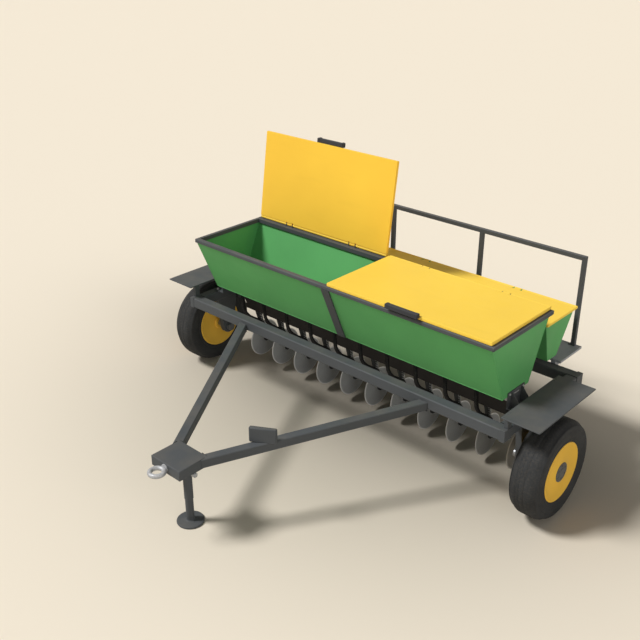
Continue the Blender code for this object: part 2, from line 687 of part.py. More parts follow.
platform = block("platform", (-PLATFORM_LENGTH / 2, PLATFORM_FRONT, PLATFORM_TOP - PLATFORM_LIP),
                 (PLATFORM_LENGTH / 2, PLATFORM_BACK, PLATFORM_TOP), GREY)
cut(platform, block("platform_hollow",
                    (PLATFORM_SKIN - PLATFORM_LENGTH / 2, PLATFORM_FRONT + PLATFORM_SKIN,
                     PLATFORM_TOP - PLATFORM_LIP - OVERRUN),
                    (PLATFORM_LENGTH / 2 - PLATFORM_SKIN, PLATFORM_BACK - PLATFORM_SKIN,
                     PLATFORM_TOP - PLATFORM_SKIN)))
post_places = [(n - (POSTS - 1) / 2) * POST_SPACING for n in range(POSTS)]
for n, x in enumerate(post_places):
    join(platform, block(f"bearer_{n}",
                         (x - BEARER_WIDTH / 2, REAR_BEAM_Y + BEAM / 2 + GAP,
                          PLATFORM_TOP - PLATFORM_SKIN / 2 - BEARER_HEIGHT),
                         (x + BEARER_WIDTH / 2, PLATFORM_BACK - PLATFORM_SKIN / 2,
                          PLATFORM_TOP - PLATFORM_SKIN / 2)))

rail_half = post_places[-1]
rail_z = RAIL_TOP - RAIL_TUBE
post_foot = PLATFORM_TOP + GAP
bend_left = arc((-rail_half + RAIL_BEND, rail_z - RAIL_BEND), RAIL_BEND, 180, 90, ARC_STEPS // 2)
rail_route = [(-rail_half, post_foot)] + bend_left + [(-x, z) for x, z in reversed(bend_left)]
rail_route.append((rail_half, post_foot))
handrail = round_bar("handrail", [(x, RAIL_Y, z) for x, z in rail_route], RAIL_TUBE, GREY)
for n, x in enumerate(post_places[1:-1]):
    join(handrail, round_bar(f"post_{n}", [(x, RAIL_Y, post_foot), (x, RAIL_Y, rail_z)], RAIL_TUBE))


# Wheels, axles, axle arms and fenders

def tyre_outline():
    """The tyre's section: radius and place across, from the outer bead round to the inner."""
    half, tread = TYRE_WIDTH / 2, TYRE_TREAD / 2
    wall = TYRE_RADIUS - TYRE_SHOULDER
    bead = RIM_DISC + GAP
    outer = [(bead, RIM_DISC_WIDTH / 2), (bead + TYRE_SHOULDER / 2, half),
             (wall - TYRE_SHOULDER / 2, half), (wall, half - TYRE_SHOULDER / 4),
             (TYRE_RADIUS - TYRE_SHOULDER / 6, tread), (TYRE_RADIUS, tread - TYRE_SHOULDER)]
    return outer + [(radius, -across) for radius, across in reversed(outer)]


def rim_outline():
    """The wheel disc's section, with the hub, the dish, the lip and the axle's blind bore."""
    face = RIM_DISC_WIDTH / 2
    bore = AXLE_RADIUS + RUNNING_GAP
    lip = RIM_DISC - RIM_LIP
    boss = face + HUB_BOSS
    return [(0, face), (HUB_RADIUS, face), (HUB_RADIUS, face - RIM_DISH),
            (lip - RIM_DISH, face - RIM_DISH), (lip, face), (RIM_DISC, face), (RIM_DISC, -face),
            (lip, -face), (lip - RIM_DISH, -face + RIM_DISH), (HUB_BOSS_RADIUS, -face + RIM_DISH),
            (HUB_BOSS_RADIUS, -boss), (bore, -boss), (bore, AXLE_REACH + END_PLAY),
            (0, AXLE_REACH + END_PLAY)]


for label, side in (("left", -1), ("right", 1)):
    # The left wheel's empty is turned half round, so both are built as the right one
    hub_place = (side * WHEEL_X, WHEEL_Y, TYRE_RADIUS)
    wheel = empty("wheel_%s_axis" % label, hub_place, (0, 0, math.pi * (1 - side) / 2), DRILL)
    turned("tyre_" + label, tyre_outline(), "X", (0, 0, 0), WHEEL_STEPS, RUBBER, wheel, closed=True)
    turned("wheel_disc_" + label, rim_outline(), "X", (0, 0, 0), WHEEL_STEPS, RIM_YELLOW, wheel)

    arm_low = SIDE_BEAM_X - AXLE_ARM / 2 - WHEEL_X
    arm_high = arm_low + AXLE_ARM
    boss_end = -RIM_DISC_WIDTH / 2 - HUB_BOSS
    turned("axle_" + label,
           [(0, AXLE_REACH), (AXLE_RADIUS, AXLE_REACH), (AXLE_RADIUS, boss_end - END_PLAY / 2),
            (AXLE_COLLAR, boss_end - END_PLAY / 2), (AXLE_COLLAR, arm_high + GAP),
            (AXLE_RADIUS, arm_high + GAP), (AXLE_RADIUS, arm_low - GAP), (AXLE_COLLAR, arm_low - GAP),
            (AXLE_COLLAR, arm_low - AXLE_NUT_LENGTH), (0, arm_low - AXLE_NUT_LENGTH)],
           "X", hub_place, SLEEVE_STEPS, STEEL).rotation_euler.z = math.pi * (1 - side) / 2

    outline = [(WHEEL_Y - AXLE_ARM_TOP_WIDTH / 2, FRAME_FLOOR - GAP)]
    outline += arc((WHEEL_Y, TYRE_RADIUS), AXLE_ARM_END, 180, 360)
    outline.append((WHEEL_Y + AXLE_ARM_TOP_WIDTH / 2, FRAME_FLOOR - GAP))
    axle_arm = outlined("axle_arm_" + label, outline, "X", side * SIDE_BEAM_X - AXLE_ARM / 2,
                        side * SIDE_BEAM_X + AXLE_ARM / 2, GREY)
    bore = AXLE_RADIUS + GAP * 2
    bore_outline = [(0, AXLE_ARM), (bore, AXLE_ARM), (bore, -AXLE_ARM), (0, -AXLE_ARM)]
    cut(axle_arm, turned("axle_bore_" + label, bore_outline, "X",
                         (side * SIDE_BEAM_X, WHEEL_Y, TYRE_RADIUS), SLEEVE_STEPS))

    fender = rounded(block("fender_" + label,
                           (side * FENDER_INNER, FENDER_FRONT, FENDER_TOP - FENDER_THICK),
                           (side * FENDER_OUTER, FENDER_BACK, FENDER_TOP), GREY), FENDER_THICK / 4)
    leg_outer = SIDE_BEAM_X + BEAM / 2
    for n, y in enumerate((FENDER_FRONT + FENDER_LEG_INSET, FENDER_BACK - FENDER_LEG_INSET)):
        join(fender, block(f"fender_leg_{label}_{n}",
                           (side * (leg_outer - FENDER_LEG), y - FENDER_LEG_WIDTH / 2, FRAME_TOP + GAP),
                           (side * leg_outer, y + FENDER_LEG_WIDTH / 2, FENDER_TOP - FENDER_THICK / 2)))


# Metering unit: its rail under the hopper, the seed cups and the seed tubes

row_start = -(ROWS - 1) / 2 * ROW_SPACING
tube_x = row_start + TUBE_SIDE
meter_top = HOPPER_FLOOR - GAP
meter_floor = meter_top - METER_HEIGHT
metering = block("metering_unit", (-METER_LENGTH / 2, -METER_DEPTH / 2, meter_floor),
                 (METER_LENGTH / 2, METER_DEPTH / 2, meter_top), GREY)
cup = block("seed_cups", (tube_x - CUP_WIDTH / 2, -CUP_DEPTH / 2, meter_floor - CUP_HEIGHT),
            (tube_x + CUP_WIDTH / 2, CUP_DEPTH / 2, meter_floor + METER_HEIGHT / 2))
route = [Vector((tube_x, y, z)) for y, z in TUBE_ROUTE]
route.append(route[-1] - Vector((0, 0, TUBE_TAIL)))
tube = round_bar("seed_tubes", route, TUBE_RADIUS)
join(metering, row_of(cup, ROWS, ROW_SPACING), row_of(tube, ROWS, ROW_SPACING))


# Opener gang: toolbar, shanks, boots and disc pins, then the discs

toolbar_top = FRAME_FLOOR - GAP
toolbar_low = (-TOOLBAR_LENGTH / 2, TOOLBAR_Y - TOOLBAR / 2, toolbar_top - TOOLBAR)
toolbar_high = (TOOLBAR_LENGTH / 2, TOOLBAR_Y + TOOLBAR / 2, toolbar_top)
openers = rounded(block("opener_gang", toolbar_low, toolbar_high, GREY), BEAM_ROUND, 2)
cut(openers, block("toolbar_bore",
                   (toolbar_low[0] - OVERRUN, toolbar_low[1] + TOOLBAR_WALL, toolbar_low[2] + TOOLBAR_WALL),
                   (toolbar_high[0] + OVERRUN, toolbar_high[1] - TOOLBAR_WALL,
                    toolbar_high[2] - TOOLBAR_WALL)))

shank_low = row_start + DISC_THICK / 2 + DISC_BOSS + END_PLAY
shank_high = shank_low + SHANK_THICK
shank_top = Vector((TOOLBAR_Y, toolbar_top - TOOLBAR + TOOLBAR_WALL / 2))
lean = Vector((DISC_Y, DISC_Z)) - shank_top
lean_angle = math.degrees(math.atan2(lean.y, lean.x))
shank_side = lean.normalized().orthogonal() * SHANK_WIDTH / 2
shank_outline = [tuple(shank_top + shank_side), tuple(shank_top - shank_side)]
shank_outline += arc((DISC_Y, DISC_Z), SHANK_END, lean_angle - 90, lean_angle + 90)
shanks = outlined("shanks", shank_outline, "X", shank_low, shank_high)
boots = turned("boots", [(0, -GAP), (BOOT_RADIUS, -GAP), (BOOT_RADIUS, -BOOT_LENGTH), (0, -BOOT_LENGTH)],
               "Z", route[-1], PIN_STEPS)
disc_back = -DISC_THICK / 2 - END_PLAY
nut_face = shank_high - row_start
pins = turned("disc_pins", [(0, nut_face + DISC_NUT_LENGTH), (DISC_NUT, nut_face + DISC_NUT_LENGTH),
                            (DISC_NUT, nut_face - SHANK_THICK / 4), (DISC_PIN, nut_face - SHANK_THICK / 4),
                            (DISC_PIN, disc_back), (DISC_PIN_HEAD, disc_back),
                            (DISC_PIN_HEAD, disc_back - DISC_PIN_HEAD_LENGTH),
                            (0, disc_back - DISC_PIN_HEAD_LENGTH)],
              "X", (row_start, DISC_Y, DISC_Z), NUT_STEPS)
join(openers, row_of(shanks, ROWS, ROW_SPACING), row_of(boots, ROWS, ROW_SPACING),
     row_of(pins, ROWS, ROW_SPACING))

disc_bore = DISC_PIN + RUNNING_GAP
disc_outline = [(disc_bore, DISC_THICK / 2 + DISC_BOSS), (DISC_BOSS_RADIUS, DISC_THICK / 2 + DISC_BOSS),
                (DISC_BOSS_RADIUS, DISC_THICK / 2), (DISC_RADIUS - DISC_BEVEL, DISC_THICK / 2),
                (DISC_RADIUS, -DISC_THICK / 2), (disc_bore, -DISC_THICK / 2)]
for n in range(ROWS):
    turned(f"disc_{n + 1:02d}", disc_outline, "X", (row_start + n * ROW_SPACING, DISC_Y, DISC_Z),
           DISC_STEPS, DISC_STEEL, closed=True)
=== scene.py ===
"""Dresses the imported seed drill: its finishes, its fittings, the studio and the camera.

All sizes are metres. X runs along the hopper, -Y points to the towing eye and +Z is up, as in
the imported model, whose solids give the places of everything that is added here.
"""
import json
import logging
import math
from collections.abc import Callable, Iterable, Sequence
from dataclasses import dataclass, field
from enum import Enum
from functools import cache

import bmesh
import bpy
from mathutils import Matrix, Vector


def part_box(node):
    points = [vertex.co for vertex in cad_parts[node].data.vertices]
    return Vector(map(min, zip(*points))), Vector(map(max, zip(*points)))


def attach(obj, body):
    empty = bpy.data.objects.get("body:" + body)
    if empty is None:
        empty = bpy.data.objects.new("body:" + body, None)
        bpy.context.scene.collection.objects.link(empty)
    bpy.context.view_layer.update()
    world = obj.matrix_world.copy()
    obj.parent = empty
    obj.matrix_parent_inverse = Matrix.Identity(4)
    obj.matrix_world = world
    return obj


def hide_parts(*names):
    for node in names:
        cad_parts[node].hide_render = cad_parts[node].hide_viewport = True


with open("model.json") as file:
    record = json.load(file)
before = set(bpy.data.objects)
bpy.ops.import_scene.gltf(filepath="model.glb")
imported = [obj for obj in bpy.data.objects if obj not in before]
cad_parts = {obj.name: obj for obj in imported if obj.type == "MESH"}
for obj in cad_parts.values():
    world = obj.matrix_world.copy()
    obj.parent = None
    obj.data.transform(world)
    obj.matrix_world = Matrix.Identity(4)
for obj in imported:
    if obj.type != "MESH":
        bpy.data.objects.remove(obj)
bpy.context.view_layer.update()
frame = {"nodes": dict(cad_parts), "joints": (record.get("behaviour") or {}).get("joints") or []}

LOG = logging.getLogger("seed_drill")
Colour = tuple[int, int, int]
Span = tuple[float, float]
Triple = tuple[float, float, float]
Point = Sequence[float]
Socket = bpy.types.NodeSocket

CHASSIS = "chassis"
SIDES = (("left", -1), ("right", 1))
DISCS = [f"disc_{number:02d}" for number in range(1, 12)]
ROW_STEP = 0.054
BOOT_BACK, BOOT_TOP = 0.262, 0.352
SHARP = math.radians(38)
JOINED = 0.00002
FLAT_WEIGHT = 100
BORE = 0.004
ALONG_X = Vector((1, 0, 0))
ALONG_Y = Vector((0, 1, 0))
ALONG_Z = Vector((0, 0, 1))


def linear(colour: Colour) -> tuple[float, float, float, float]:
    """Turn a colour as a screen shows it into the shader's linear values.

    Args:
        colour: red, green and blue from 0 to 255.

    Returns:
        The linear colour with a full alpha.
    """
    values = []
    for channel in colour:
        share = channel / 255
        values.append(share / 12.92 if share < 0.04045 else ((share + 0.055) / 1.055) ** 2.4)
    return (values[0], values[1], values[2], 1.0)


def shade(colour: Colour, by: float) -> Colour:
    """Darken or lighten a colour.

    Args:
        colour: red, green and blue from 0 to 255.
        by: what every channel is multiplied by.

    Returns:
        The new colour, kept within 255.
    """
    return tuple(min(255, round(channel * by)) for channel in colour)


@dataclass(frozen=True)
class Grain:
    """Noise in a piece's own space, of which the values from low to high are put to use."""

    waves: float
    detail: float = 3.0
    low: float = 0.3
    high: float = 0.7


class Shader:
    """The nodes of one material, which end in a Principled shader."""

    METAL_SHEEN = 0.5
    PAINT_SHEEN = 0.09
    EDGE_TURN: Span = (0.985, 0.90)
    EDGE_SAMPLES = 4
    RISING: Span = (0.55, 1.0)

    def __init__(self, name: str, roughness: float, metallic: float = 0.0) -> None:
        """Start a material.

        Args:
            name: the material's name.
            roughness: the shader's own roughness.
            metallic: the shader's own metallic value.
        """
        self.roughness = roughness
        self.material = bpy.data.materials.new(name)
        self.material.use_nodes = True
        self.tree = self.material.node_tree
        self.surface = self.tree.nodes["Principled BSDF"]
        self.surface.inputs["Roughness"].default_value = roughness
        self.surface.inputs["Metallic"].default_value = metallic
        sheen = self.METAL_SHEEN if metallic else self.PAINT_SHEEN
        self.surface.inputs["Specular IOR Level"].default_value = sheen
        self.places = self.node("TexCoord", {})

    def node(self, kind: str, sockets: dict[str | int, object], **fields: object) -> bpy.types.Node:
        """Add a node and wire it.

        Args:
            kind: the node's type without its ShaderNode prefix.
            sockets: input name or place to a value or to another node's output.
            fields: settings of the node itself.

        Returns:
            The new node.
        """
        made = self.tree.nodes.new("ShaderNode" + kind)
        for name, value in fields.items():
            setattr(made, name, value)
        for socket, value in sockets.items():
            if isinstance(value, Socket):
                self.tree.links.new(value, made.inputs[socket])
            else:
                made.inputs[socket].default_value = value
        return made

    def noise(self, grain: Grain, stretch: Point = (1, 1, 1)) -> Socket:
        """Noise in the piece's own space.

        Args:
            grain: how fine it is.
            stretch: scale along each axis on top of that.

        Returns:
            The noise's value.
        """
        place = self.node("Mapping", {"Vector": self.places.outputs["Object"], "Scale": stretch})
        return self.node("TexNoise", {"Vector": place.outputs["Vector"], "Scale": grain.waves,
                                      "Detail": grain.detail}).outputs["Fac"]

    def span(self, value: Socket, given: Span, wanted: Span = (0.0, 1.0)) -> Socket:
        """Map a value from one range to another, and clamp it.

        Args:
            value: what is mapped.
            given: the values that give the ends of the wanted range.
            wanted: the ends of the wanted range.

        Returns:
            The mapped value.
        """
        return self.node("MapRange", {"Value": value, "From Min": given[0], "From Max": given[1],
                                      "To Min": wanted[0], "To Max": wanted[1]}).outputs["Result"]

    def cover(self, grain: Grain, most: float = 1.0, stretch: Point = (1, 1, 1)) -> Socket:
        """How strongly a grain shows from place to place.

        Args:
            grain: the noise that spreads it.
            most: the value where it shows most.
            stretch: the noise's scale along each axis.

        Returns:
            A value from 0 to the most.
        """
        return self.span(self.noise(grain, stretch), (grain.low, grain.high), (0.0, most))

    def times(self, one: Socket, other: Socket) -> Socket:
        """Multiply two values."""
        return self.node("Math", {0: one, 1: other}, operation="MULTIPLY").outputs[0]

    def mix(self, share: Socket, under: object, over: object, blend: str = "MIX") -> Socket:
        """Lay one colour over another.

        Args:
            share: how much of the upper colour shows.
            under: the lower colour, or the output that gives it.
            over: the upper colour, or the output that gives it.
            blend: how the two colours meet.

        Returns:
            The mixed colour.
        """
        return self.node("MixRGB", {"Fac": share, "Color1": under, "Color2": over},
                         blend_type=blend).outputs["Color"]

    def uneven(self, share: Socket, colour: Colour, tones: Span) -> Socket:
        """A colour that drifts from place to place.

        Args:
            share: where it drifts to its second tone.
            colour: the plain colour.
            tones: what the first and the second tone multiply it by.

        Returns:
            The drifting colour.
        """
        return self.mix(share, linear(shade(colour, tones[0])), linear(shade(colour, tones[1])))

    def polish(self, share: Socket, steps: Span) -> None:
        """Let the roughness drift between two steps from the shader's own."""
        rough = (self.roughness + steps[0], self.roughness + steps[1])
        self.drive("Roughness", self.span(share, (0.0, 1.0), rough))

    def edges(self, width: float) -> Socket:
        """Find the piece's edges.

        Args:
            width: how far from an edge still counts.

        Returns:
            A value that is 1 on the edges.
        """
        soft = self.node("Bevel", {"Radius": width}, samples=self.EDGE_SAMPLES)
        plain = self.node("NewGeometry", {})
        turn = self.node("VectorMath", {0: soft.outputs["Normal"], 1: plain.outputs["Normal"]},
                         operation="DOT_PRODUCT")
        return self.span(turn.outputs["Value"], self.EDGE_TURN)

    def upward(self) -> Socket:
        """A value that is 1 where the piece's own surface faces up."""
        parts = self.node("SeparateXYZ", {"Vector": self.places.outputs["Normal"]})
        return self.span(parts.outputs["Z"], self.RISING)

    def radius(self) -> Socket:
        """The distance from the piece's own X axis."""
        flat = self.node("Mapping", {"Vector": self.places.outputs["Object"], "Scale": (0, 1, 1)})
        return self.node("VectorMath", {0: flat.outputs["Vector"]}, operation="LENGTH").outputs["Value"]

    def bump(self, height: Socket, depth: float, strength: float) -> None:
        """Let a height show in the surface.

        Args:
            height: the height from 0 to 1.
            depth: what a height of 1 is in metres.
            strength: how strongly it shows.
        """
        bumps = self.node("Bump", {"Height": height, "Distance": depth, "Strength": strength})
        self.drive("Normal", bumps.outputs["Normal"])

    def drive(self, socket: str, value: Socket) -> None:
        """Let an output set one of the surface's sockets."""
        self.tree.links.new(value, self.surface.inputs[socket])


@dataclass(frozen=True)
class Paint:
    """Sprayed paint: slightly uneven, dusty where it faces up and worn on its edges."""

    name: str
    colour: Colour
    roughness: float = 0.45
    worn: Colour = (126, 122, 114)
    wear: float = 0.5
    dust: float = 0.10
    dust_colour: Colour = (168, 152, 124)
    tones: Span = (0.955, 1.03)
    clouds: Grain = Grain(1.6)
    patches: Grain = Grain(5.0, 6.0, 0.40, 0.72)
    chips: Grain = Grain(46.0, 5.0, 0.52, 0.62)
    gloss: Grain = Grain(7.0, 5.0)
    gloss_steps: Span = (-0.06, 0.10)
    peel: Grain = Grain(240.0, 2.0)
    peel_depth: float = 0.0004
    peel_strength: float = 0.12
    edge: float = 0.0035

    def make(self) -> bpy.types.Material:
        """Build the material.

        Returns:
            The finished material.
        """
        shader = Shader(self.name, self.roughness)
        tone = shader.uneven(shader.cover(self.clouds), self.colour, self.tones)
        dusty = shader.times(shader.upward(), shader.cover(self.patches, self.dust))
        tone = shader.mix(dusty, tone, linear(self.dust_colour))
        chipped = shader.times(shader.edges(self.edge), shader.cover(self.chips, self.wear))
        shader.drive("Base Color", shader.mix(chipped, tone, linear(self.worn)))
        shader.polish(shader.cover(self.gloss), self.gloss_steps)
        shader.bump(shader.noise(self.peel), self.peel_depth, self.peel_strength)
        return shader.material


@dataclass(frozen=True)
class Moulded:
    """Moulded or powder coated sheet: even colour, fine grain and faint rubbed streaks."""

    name: str
    colour: Colour
    roughness: float = 0.42
    skin: Grain = Grain(620.0, 2.0)
    tones: Span = (0.965, 1.015)
    clouds: Grain = Grain(1.1, 4.0)
    streaks: Grain = Grain(9.0, 6.0, 0.56, 0.75)
    streak_stretch: Triple = (0.25, 1.6, 1.0)
    streak_share: float = 0.10
    streak_tone: float = 0.86
    rubbed: Grain = Grain(30.0, 3.0, 0.4, 0.7)
    rubbed_share: float = 0.35
    rubbed_tone: float = 1.12
    edge: float = 0.004
    gloss: Grain = Grain(12.0, 5.0)
    gloss_steps: Span = (-0.05, 0.08)
    skin_depth: float = 0.0003
    skin_strength: float = 0.10

    def make(self) -> bpy.types.Material:
        """Build the material.

        Returns:
            The finished material.
        """
        shader = Shader(self.name, self.roughness)
        tone = shader.uneven(shader.cover(self.clouds), self.colour, self.tones)
        streaks = shader.cover(self.streaks, self.streak_share, self.streak_stretch)
        tone = shader.mix(streaks, tone, linear(shade(self.colour, self.streak_tone)))
        rubbed = shader.times(shader.edges(self.edge), shader.cover(self.rubbed, self.rubbed_share))
        shader.drive("Base Color", shader.mix(rubbed, tone, linear(shade(self.colour, self.rubbed_tone))))
        shader.polish(shader.cover(self.gloss), self.gloss_steps)
        shader.bump(shader.noise(self.skin), self.skin_depth, self.skin_strength)
        return shader.material


@dataclass(frozen=True)
class BareSteel:
    """Galvanised or machined steel with rubbed streaks and darker spots."""

    name: str
    colour: Colour
    roughness: float = 0.38
    metallic: float = 0.75
    stretch: Triple = (1.0, 1.0, 1.0)
    tones: Span = (0.80, 1.0)
    clouds: Grain = Grain(38.0, 5.0)
    spots: Grain = Grain(120.0, 4.0, 0.60, 0.72)
    spot_share: float = 0.35
    spot_colour: Colour = (96, 84, 72)
    gloss: Grain = Grain(60.0, 4.0)
    gloss_steps: Span = (-0.10, 0.14)
    scratches: Grain = Grain(300.0)
    scratch_depth: float = 0.0004
    scratch_strength: float = 0.15

    def make(self) -> bpy.types.Material:
        """Build the material.

        Returns:
            The finished material.
        """
        shader = Shader(self.name, self.roughness, self.metallic)
        tone = shader.uneven(shader.cover(self.clouds, stretch=self.stretch), self.colour, self.tones)
        spots = shader.cover(self.spots, self.spot_share)
        shader.drive("Base Color", shader.mix(spots, tone, linear(self.spot_colour)))
        shader.polish(shader.cover(self.gloss, stretch=self.stretch), self.gloss_steps)
        scratched = shader.noise(self.scratches, self.stretch)
        shader.bump(scratched, self.scratch_depth, self.scratch_strength)
        return shader.material


@dataclass(frozen=True)
class TurnedSteel:
    """A rolled and ground disc: fine rings round its axis, bright at the cutting edge."""

    name: str
    colour: Colour
    edge: Colour
    edge_radius: float
    roughness: float = 0.46
    metallic: float = 0.10
    tones: Span = (0.93, 1.06)
    rings: Grain = Grain(420.0)
    soil: Grain = Grain(16.0, 6.0, 0.52, 0.70)
    soil_share: float = 0.16
    soil_colour: Colour = (112, 98, 80)
    ground_shares: Span = (0.93, 0.985)
    gloss_steps: Span = (-0.06, 0.08)
    ring_depth: float = 0.0003
    ring_strength: float = 0.18

    def make(self) -> bpy.types.Material:
        """Build the material.

        Returns:
            The finished material.
        """
        shader = Shader(self.name, self.roughness, self.metallic)
        reach = shader.radius()
        rings = shader.node("TexNoise", {"W": reach, "Scale": self.rings.waves, "Detail": self.rings.detail},
                            noise_dimensions="1D").outputs["Fac"]
        turned = shader.span(rings, (self.rings.low, self.rings.high))
        tone = shader.uneven(turned, self.colour, self.tones)
        tone = shader.mix(shader.cover(self.soil, self.soil_share), tone, linear(self.soil_colour))
        inner, outer = (self.edge_radius * share for share in self.ground_shares)
        shader.drive("Base Color", shader.mix(shader.span(reach, (inner, outer)), tone, linear(self.edge)))
        shader.polish(turned, self.gloss_steps)
        shader.bump(rings, self.ring_depth, self.ring_strength)
        return shader.material


@dataclass(frozen=True)
class Rubber:
    """Tyre rubber or a black hose, with dust in its pores, and most of it on a tyre's tread."""

    name: str
    colour: Colour
    roughness: float = 0.78
    dust: float = 0.22
    worn_radius: float = 0.0
    dust_colour: Colour = (140, 128, 108)
    tones: Span = (0.90, 1.07)
    clouds: Grain = Grain(6.0, 5.0)
    pores: Grain = Grain(70.0, 6.0, 0.45, 0.75)
    tread_share: float = 0.93
    wall_dust: float = 0.35
    gloss: Grain = Grain(22.0, 4.0)
    gloss_steps: Span = (-0.08, 0.10)
    skin: Grain = Grain(380.0)
    skin_depth: float = 0.0005
    skin_strength: float = 0.25

    def make(self) -> bpy.types.Material:
        """Build the material.

        Returns:
            The finished material.
        """
        shader = Shader(self.name, self.roughness)
        tone = shader.uneven(shader.cover(self.clouds), self.colour, self.tones)
        dusty = shader.cover(self.pores, self.dust)
        if self.worn_radius:
            tread = (self.worn_radius * self.tread_share, self.worn_radius)
            dusty = shader.times(dusty, shader.span(shader.radius(), tread, (self.wall_dust, 1.0)))
        shader.drive("Base Color", shader.mix(dusty, tone, linear(self.dust_colour)))
        shader.polish(shader.cover(self.gloss), self.gloss_steps)
        shader.bump(shader.noise(self.skin), self.skin_depth, self.skin_strength)
        return shader.material


@dataclass(frozen=True)
class PaintedShadow:
    """A soft painted shadow on the floor: a dark patch that stands in for shade round the drill."""

    middle: Triple
    reach: Triple
    left: float

    def fading(self, shader: Shader) -> Socket:
        """A value that is 1 in the patch's middle and fades out round it.

        Args:
            shader: the floor's material.

        Returns:
            The value, which falls to 1 / e at the patch's reach.
        """
        away = shader.node("VectorMath", {0: shader.places.outputs["Object"], 1: self.middle},
                           operation="SUBTRACT").outputs["Vector"]
        near = shader.node("VectorMath", {0: away, 1: self.reach}, operation="DIVIDE").outputs["Vector"]
        square = shader.node("VectorMath", {0: near, 1: near}, operation="DOT_PRODUCT").outputs["Value"]
        return shader.node("Math", {0: 1 / math.e, 1: square}, operation="POWER").outputs[0]


@dataclass(frozen=True)
class Floor:
    """The studio floor, with painted shadows that darken it round and under the drill, as large soft lamps
    would.
    """

    name: str
    colour: Colour
    roughness: float = 0.9
    sheen: float = 0.1
    # Painted shade: a wide patch round the drill and a tighter one under its back.
    painted_shadows: tuple[PaintedShadow, ...] = (PaintedShadow((0.0, 0.6, 0.0), (2.53, 1.90, 1.0), 0.54),
                                   PaintedShadow((-0.15, 1.0, 0.0), (2.1, 0.62, 1.0), 0.42))

    def make(self) -> bpy.types.Material:
        """Build the material.

        Returns:
            The finished material.
        """
        shader = Shader(self.name, self.roughness)
        tone = linear(self.colour)
        # Each painted shadow multiplies the floor's colour down towards what it leaves.
        for shadow in self.painted_shadows:
            tone = shader.mix(shadow.fading(shader), tone, (*[shadow.left] * 3, 1.0), "MULTIPLY")
        shader.drive("Base Color", tone)
        shader.surface.inputs["Specular IOR Level"].default_value = self.sheen
        return shader.material


class Finish(Enum):
    """The drill's finishes."""

    GREEN = Paint("hopper_green", (94, 166, 100), 0.46, worn=(70, 96, 62), wear=0.40, dust=0.08)
    LID = Moulded("lid_yellow", (255, 213, 84), 0.46)
    # A darker copy of the lid yellow for the open left lid: painted shade for the face that is lit less.
    LID_PAINTED_SHADE = Moulded("lid_yellow_painted_shade", (255, 204, 72), 0.46)
    RIM = Paint("wheel_yellow", (234, 186, 74), 0.46, worn=(160, 140, 96), wear=0.30, dust=0.10)
    GREY = Paint("frame_grey", (80, 83, 85), 0.48, wear=0.50, dust=0.10)
    HUB = Paint("hub_grey", (98, 98, 96), 0.50, wear=0.40, dust=0.10)
    DARK = Paint("dark_castings", (60, 62, 63), 0.55, wear=0.40, dust=0.12)
    GUARD = Paint("guard_black", (50, 49, 49), 0.60, wear=0.35, dust=0.20)
    TREAD = Paint("tread_plate_grey", (158, 160, 165), 0.50, worn=(176, 176, 176), wear=0.60, dust=0.08)
    GRIP = Moulded("grip_plastic", (62, 63, 66), 0.50, skin=Grain(900.0, 2.0))
    STEEL = BareSteel("zinc_steel", (190, 191, 194), 0.40)
    BRIGHT = BareSteel("bright_steel", (186, 188, 191), 0.48, 0.25)
    SHAFT = BareSteel("drawn_shaft", (150, 152, 156), 0.36, 0.8, (0.05, 1.0, 1.0))
    DISC = TurnedSteel("opener_steel", (158, 160, 162), (226, 226, 226), 0.178)
    TYRE = Rubber("tyre_rubber", (56, 57, 58), 0.80, 0.10, 0.378)
    HOSE = Rubber("seed_hose", (44, 45, 47), 0.60, 0.12)

    @cache
    def material(self) -> bpy.types.Material:
        """The finish's material, built when it is first asked for."""
        return self.value.make()


class Box:
    """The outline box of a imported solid."""

    def __init__(self, node: str) -> None:
        """Read a solid's box from the frame.

        Args:
            node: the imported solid's name.
        """
        low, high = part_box(node)
        self.low = Vector(low)
        self.high = Vector(high)
        self.middle = (self.low + self.high) / 2
        self.size = self.high - self.low


def row_places() -> list[float]:
    """The X of every seed row, where its outlet, cup, hose and boot lie."""
    return [Box(disc).low.x + ROW_STEP for disc in DISCS]


def facing(axis: Vector) -> Matrix:
    """The turn that takes +Z to an axis."""
    return axis.normalized().to_track_quat("Z", "Y").to_matrix()


def spread(start: float, end: float, count: int) -> list[float]:
    """Places from one end to the other, both ends included.

    Args:
        start: the first place.
        end: the last place.
        count: how many there are, two or more.

    Returns:
        The places in order.
    """
    return [start + (end - start) * n / (count - 1) for n in range(count)]


def round_corner(middle: Point, radius: float, start: float, end: float, steps: int = 5) -> list[Span]:
    """Points on an arc in a plane.

    Args:
        middle: the arc's middle.
        radius: its radius.
        start: its first angle in degrees.
        end: its last angle in degrees.
        steps: how many pieces it has.

    Returns:
        The points in order.
    """
    angles = [math.radians(angle) for angle in spread(start, end, steps + 1)]
    return [(middle[0] + radius * math.cos(angle), middle[1] + radius * math.sin(angle)) for angle in angles]


def flowing(places: Sequence[Vector], steps: int) -> list[Vector]:
    """Points on one smooth curve through the places.

    Args:
        places: what the curve passes through.
        steps: how many points each stretch gets.

    Returns:
        The points in order, both ends included.
    """
    ends = [2 * places[0] - places[1], *places, 2 * places[-1] - places[-2]]
    route = []
    for before, start, end, after in zip(ends, ends[1:], ends[2:], ends[3:]):
        for n in range(steps):
            t = n / steps
            square = (before * 2 - start * 5 + end * 4 - after) * t ** 2
            cube = (start * 3 - before - end * 3 + after) * t ** 3
            route.append((start * 2 + (end - before) * t + square + cube) / 2)
    return route + [places[-1]]


